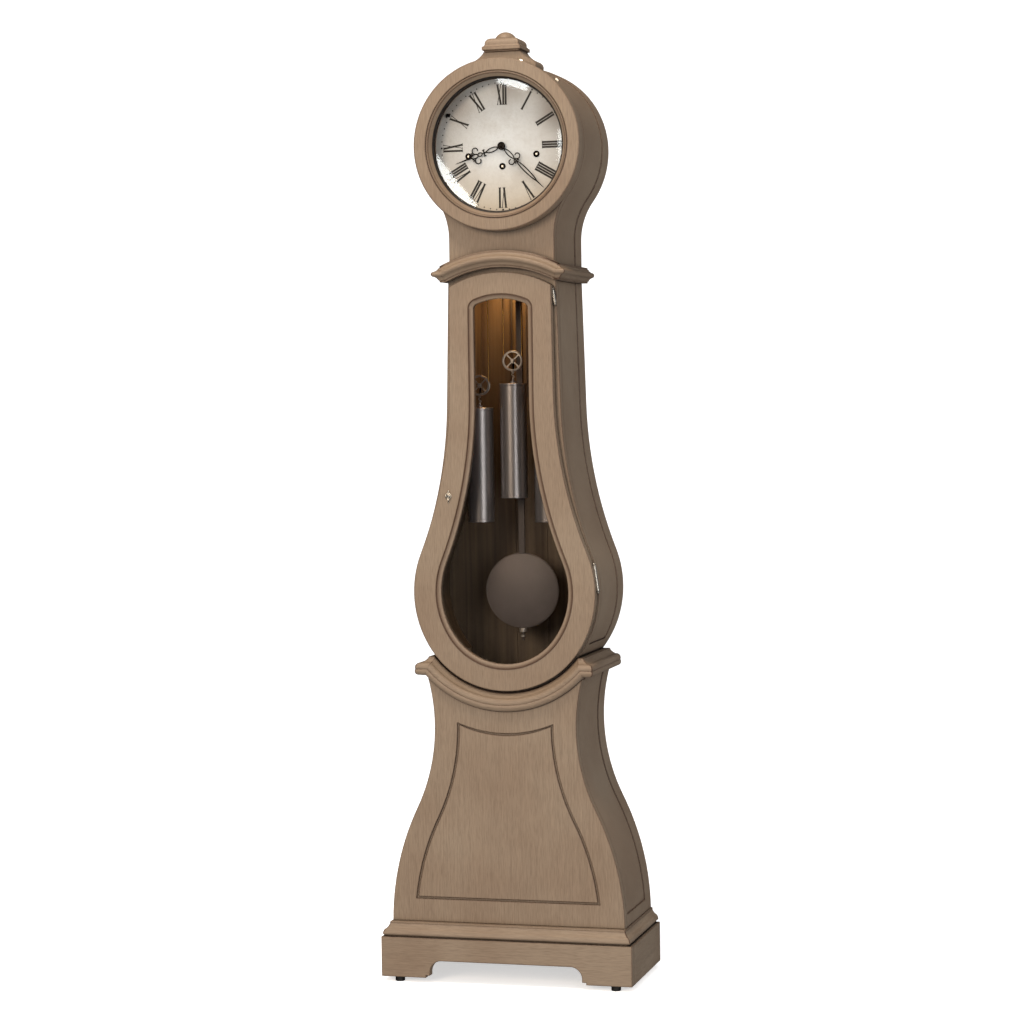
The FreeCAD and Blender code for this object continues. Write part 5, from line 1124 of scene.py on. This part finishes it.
for hand, body, section, boss_mm, cut_mm in (
        (hour_hand, "hour_hand", HOUR_BOSS, 225.5, 224.8),
        (minute_hand, "minute_hand", MINUTE_BOSS, 229.5, 228.8)):
    boss = turned("boss", section, (0, depth(boss_mm), HEAD.z), steps=48)
    whole = joined(body + "_finished", [hand, boss, behind(body, cut_mm)])
    fitted(whole, body, blackened, [body])

# %% [markdown]
# ## The domed dial glass
# A flat pane would mirror one point of the room. The dome gathers the whole room into small
# bright crescents near its rim. It is a shallow arc, spun, 2 mm thick.

# %% Dial glass
GLASS_REACH_MM = 151.6
GLASS_RISE_MM = 11.0
PANE_MM = 2.0
GLASS_RIM_MM = 258.2


def dome(reach, rise, out_to, steps):
    """Half the section of a dome, as (radius, how far it lies below the dome's top)."""
    radius = (reach ** 2 + rise ** 2) / (2 * rise)
    outs = [out_to * step / steps for step in range(steps + 1)]
    return [(out, radius - sqrt(radius ** 2 - out ** 2)) for out in outs]


outer = [(r, sunk - GLASS_RISE_MM)
         for r, sunk in dome(GLASS_REACH_MM, GLASS_RISE_MM, GLASS_REACH_MM, 14)]
inner = [(r, y + PANE_MM) for r, y in reversed(outer)]
dial_glass = turned("domed_dial_glass", outer + inner, (0, depth(GLASS_RIM_MM), HEAD.z),
                    steps=96)
domed_only.objects.link(dial_glass)
for pane in (dial_glass, nodes["door_glass"]):
    kept_clear.objects.link(pane)
for link in kept_clear.collection_objects:
    link.light_linking.link_state = "EXCLUDE"
fitted(dial_glass, "dial_door", glass, ["bezel_glass"])

# %% [markdown]
# ## Tongues in the back
# The back is three boards with a narrow seam between them. A loose tongue closes each seam,
# so that no daylight from the glazed door shows through it.

# %% Seam tongues
SEAM_MM = 38.0
TONGUE_MM = (0.8, 7.0, 1522.5)
TONGUE_DEPTH_MM = 6.0
TONGUE_MIDDLE_MM = 863.65
tongues = [block(TONGUE_MM, (side * SEAM_MM, depth(TONGUE_DEPTH_MM) / MM, TONGUE_MIDDLE_MM))
           for side in (-1, 1)]
fitted(joined("back_tongues", tongues), "case", inside_wood)

# %% [markdown]
# ## Weights and their hooks
# Three brushed cylinders, filled with lead, drive the clock. A shell is turned, with a
# rolled rim at each end, a shallow lid and a threaded stem. A hook of twisted wire holds
# the strap of the pulley: a bent wire, with a thinner one wound round it.

# %% The weight's shell
HANG_Y = depth(159.0)
# Where each weight hangs, and the height of its lid.
TOPS = {"left": (-79.5, 1305), "middle": (0, 1360), "right": (79.5, 1305)}
# The shell's radius and length, in mm.
R = 31.0
LONG = 262.0
FOOT = [(0, 3), (R - 5, 3), (R - 4, 0)]
ROLL = [(R - 0.9, 0), (R, 0.9), (R, 5), (R - 0.4, 5.5), (R - 0.8, 5.8), (R - 0.8, 6.6),
        (R - 0.3, 7)]
LID = [(R - 3.4, 0), (R - 4.2, -1.6), (9, -1.2), (7.4, 0.4), (6.2, 0.6), (6.2, 4.6),
       (5.4, 5.4), (2.6, 5.6), (2.6, 9.4), (1.7, 10), (0, 10)]
SHELL = ([(r, up - LONG) for r, up in FOOT + ROLL]
         + [(r, -up) for r, up in reversed(ROLL)] + LID)
print("shell section", len(SHELL), "points")

# %% The twisted hook and the strap
HOOK_WIRE_MM = 1.95
WINDING_WIRE_MM = 0.9
# The pulley's pin above the lid.
PIN_UP_MM = 51
HOOK = [(0, 0, 8), (0, 0, 11), (2.9, 0, 12.6), (3.1, 0, 15.8), (0, 0, 17.4),
        (-2, 0, 18.4), (-2.6, 0, 20.6), (-0.6, 0, 22.4), (1.6, 0, 22.6), (2.2, 0, 24.4)]
WINDINGS = [(1.5 * cos(turn), 1.5 * sin(turn), 8.2 + turn * 0.62 / 1.1)
            for turn in (1.1 * step for step in range(15))]
PIN = both_ends([(0, -6.4), (2.3, -6.4), (2.8, -6), (2.8, -5.5), (1.9, -5.5)])


def strap():
    """The stirrup that holds the pulley's pin: a strip folded over the rim, and the pin."""
    pin_place = (0, 0, PIN_UP_MM * MM)
    arms = []
    for way in (-1, 1):
        arm = block((3.4, 1.2, 2), (0, way * 4.8, 25.4))
        for face in arm.data.polygons:
            face.select = face.normal.z > 0.9
        edit(False)
        bpy.ops.mesh.select_mode(type="FACE")
        extrude((0, 0, 21 * MM))
        stretch((1.5, 1, 1), pin_place)
        extrude((0, 0, 6 * MM))
        extrude((0, 0, 1.6 * MM))
        stretch((0.5, 1, 1), pin_place)
        done()
        arms.append(rounded(arm, 0.3, 1))
    bridge = rounded(block((4.6, 11, 1.4), (0, 0, 25.1)), 0.3, 1)
    return arms + [bridge, turned("pin", PIN, pin_place, steps=20)]


for side, (x, top) in TOPS.items():
    place = (x * MM, HANG_Y, top * MM)
    shell = turned("weight_shell_" + side, SHELL, place, axis="Z", steps=80)
    fitted(shell, "weight_" + side, weight_nickel, ["weight_" + side])
    hanger = joined("weight_hanger_" + side, [wire(HOOK, HOOK_WIRE_MM),
                                              wire(WINDINGS, WINDING_WIRE_MM, 8), *strap()])
    move(hanger, place)
    fitted(hanger, "weight_" + side, aged_nickel)

# %% [markdown]
# ## Pulleys
# A pulley is a turned rim and hub with two flat bars across, which make four spokes. A bar
# is narrow in the middle and widens where it runs into the rim.

# %% The three pulleys
GROOVE = both_ends([(19.4, -2.9), (20, -3.3), (21.4, -3.2), (22, -2.6), (22.6, -3.3),
                    (23.4, -3.6), (24, -3), (24, -2.4), (21.4, -0.9), (20.8, 0)])
RIM = GROOVE + [(19.0, 1.8), (19.0, -1.8), (19.4, -2.9)]
HUB = both_ends([(2.1, -3.6), (3.8, -3.6), (4.6, -3), (4.9, -1.6)]) + [(2.1, -3.6)]
SPOKE_MM = (39.4, 2.4, 3.2)
SLIMMEST_AT = 0.45


def spoke(turn_deg):
    """A flat spoke right across the wheel, flared where it meets the rim and the hub."""
    bar = block(SPOKE_MM)
    edit()
    bpy.ops.mesh.subdivide(number_cuts=7)
    done()
    for vertex in bar.data.vertices:
        out = abs(vertex.co.x) / (SPOKE_MM[0] / 2 * MM)
        vertex.co.z *= 0.78 + 0.9 * abs(out - SLIMMEST_AT) ** 1.6
    bar.data.transform(Matrix.Rotation(radians(turn_deg), 4, "Y"))
    return rounded(bar, 0.35, 1, 40)


for side, (x, top) in TOPS.items():
    sheave = joined("pulley_sheave_" + side, [turned("rim", RIM), turned("hub", HUB, steps=28),
                                              spoke(45), spoke(-45)])
    move(sheave, (x * MM, HANG_Y, (top + PIN_UP_MM) * MM))
    fitted(sheave, "pulley_" + side, aged_nickel, ["pulley_" + side])

# %% [markdown]
# ## The lines
# Each weight hangs in the loop of a thin bronze line. Its ends stay up in the case, on the
# drum and in a ferrule, while the loop goes up and down with the weight. Here each line
# is a copy of its node with eased edges, fixed where it hangs.

# %% Lines with eased edges
LINE_ROUND_MM = 0.05
for side, (x, top) in TOPS.items():
    line = eased("cable_" + side, LINE_ROUND_MM)
    line.name = "bronze_line_" + side
    dress(line, cable_bronze)
    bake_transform(line)
    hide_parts("cable_" + side)

# %% [markdown]
# ## The pendulum
# The bob is a lens of dark pewter-coloured metal: two shallow domes that meet in a rolled
# rim. It stands on a rating nut with a milled edge, and a thinner nut locks it.

# %% Bob
BOB = Vector((0, depth(100.0), 0.882))
BOB_HALF_THICK_MM = 13.0
BOB_RIM = [(85.2, -3), (86.3, -3), (87, -2.2)]
bob_face = [(r, sunk - BOB_HALF_THICK_MM) for r, sunk in dome(87.0, 9.6, 84.4, 10)]
bob = turned("pendulum_bob_lens", both_ends(bob_face + BOB_RIM), BOB, steps=112)
fitted(bob, "pendulum", pewter, ["pendulum_bob"])

# %% Rating nuts, and the rod with eased edges
NUT_STEPS = 48
MILLED_IN = 0.035


def milled_nut(radius, low, high):
    """A nut turned about the screw, with every second face of its edge pressed in."""
    section = [(2.6, 0), (radius - 1, 0), (radius, 0.8), (radius, high - 0.8),
               (radius - 1, high), (2.6, high), (2.6, 0)]
    nut = turned("nut", section, (0, BOB.y, low * MM), axis="Z", steps=NUT_STEPS)
    for vertex in nut.data.vertices:
        out = Vector((vertex.co.x, vertex.co.y - BOB.y))
        if out.length > (radius - 0.4) * MM:
            number = round(atan2(out.y, out.x) / (tau / NUT_STEPS))
            out *= 1 - MILLED_IN * (number % 2)
            vertex.co.x, vertex.co.y = out.x, BOB.y + out.y
    return nut


nuts = joined("rating_nuts_milled", [milled_nut(9.0, 785.5, 9.0), milled_nut(6.0, 774.0, 5.0)])
fitted(nuts, "pendulum", aged_nickel, ["rating_nuts"])
fitted(eased("pendulum_rod", 0.6), "pendulum", rod_steel, ["pendulum_rod"])

# %% [markdown]
# ## Lock, key and hinges
# The door's nickelled key stays in its lock. Its bow is a ring, and the plate round the
# keyhole is a drop with beads above and below. The hinges are barrels with ball tips.

# %% Key
LOCK = Vector((-0.1268, depth(262.3), 1.1067))
BOW_AHEAD = Vector((0, -15.7, 0)) * MM
SHANK = [(0, 11), (1.4, 11), (1.4, -1), (2.5, -1.6), (2.8, -2.2), (2.5, -2.8), (1.6, -3.2),
         (1.6, -8.4), (2.4, -9), (2.6, -9.8), (2.2, -10.6), (1.2, -11.2), (0, -11.2)]


def key_bow():
    """The key's ring: a torus, flattened and drawn out upwards."""
    bow = fresh(bpy.ops.mesh.primitive_torus_add, major_segments=36, minor_segments=10,
                major_radius=4.3 * MM, minor_radius=1.25 * MM,
                rotation=(0, radians(90), 0))
    settle()
    edit()
    stretch((0.8, 1.0, 1.2))
    done()
    bpy.ops.object.shade_smooth()
    move(bow, LOCK + BOW_AHEAD)
    return bow


shank = turned("key_shank", SHANK, LOCK, steps=24)
key = joined("door_key_turned", [key_bow(), shank, behind("door_key", 250.0)])
fitted(key, "door_key", nickel, ["door_key"])

# %% The plate round the keyhole
PLATE_RADIUS_MM = 6.4
PLATE_TALL = 1.5
PLATE_NARROWS = 0.28


def scutcheon():
    """A drop-shaped plate, pressed out at its rim."""
    drop = fresh(bpy.ops.mesh.primitive_circle_add, vertices=40, fill_type="NGON",
                 radius=PLATE_RADIUS_MM * MM, rotation=UPRIGHT)
    settle()
    for vertex in drop.data.vertices:
        vertex.co.z *= PLATE_TALL
        far = abs(vertex.co.z) / (PLATE_RADIUS_MM * PLATE_TALL * MM)
        vertex.co.x *= 1 - PLATE_NARROWS * far
    edit()
    extrude((0, -1.2 * MM, 0))
    bpy.ops.mesh.inset(thickness=1.3 * MM)
    bpy.ops.transform.translate(value=(0, 0.5 * MM, 0))
    face_outwards()
    done()
    return rounded(drop, 0.3)


def bead_at(z_mm, r):
    """A turned bead of radius r on the plate."""
    section = [(0, 0.2), (r * 0.9, 0.2), (r, -r * 0.3), (r * 0.8, -r * 0.8),
               (r * 0.4, -r * 1.1), (0, -r * 1.2)]
    return turned("bead", section, (0, 0, z_mm * MM), steps=20)


plate = joined("keyhole_plate", [scutcheon(), bead_at(10.6, 2.2), bead_at(-10.8, 2.4),
                                 bead_at(-15.0, 1.5)])
move(plate, LOCK)
fitted(plate, "waist_door", nickel)

# %% Hinges with ball tips, and the rest of the plated pieces
HINGE_TOP = Vector((0.122, depth(246.5), 1.552))
HINGE_AXIS = Vector((-0.139663, 0, 0.990199))
LOW_HINGE_MM = -637.2
BALL_TIP = [(0, -0.5), (3.4, -0.5), (3.6, 0.4), (2.4, 1.2), (2.2, 1.8), (3.2, 2.8),
            (3.5, 4), (3, 5.4), (1.6, 6.4), (0, 6.7)]
PLATED = {"waist_hinge_leaves": 0.2, "door_hinge_leaves": 0.2, "bezel_hinge_leaf": 0.15,
          "hood_fittings": 0.5, "door_lock": 0.25}


def ball_tip(along_mm, way):
    """A turned tip at the end of a hinge's barrel, on the hinge line."""
    tip = turned("ball_tip", BALL_TIP, axis="Z", steps=24)
    point = Matrix.Identity(4) if way > 0 else Matrix.Rotation(pi, 4, "X")
    lean = AXES["Z"].rotation_difference(HINGE_AXIS).to_matrix().to_4x4()
    place = HINGE_TOP + HINGE_AXIS * along_mm * MM
    tip.data.transform(Matrix.Translation(place) @ lean @ point)
    return tip


tips = [ball_tip(13.5, 1), ball_tip(-13.5, -1),
        ball_tip(LOW_HINGE_MM + 28, 1), ball_tip(LOW_HINGE_MM - 28, -1)]
fitted(joined("hinge_ball_tips", tips), "case", nickel)
for name, width in PLATED.items():
    fitted(eased(name, width), body_of(name), nickel, [name])
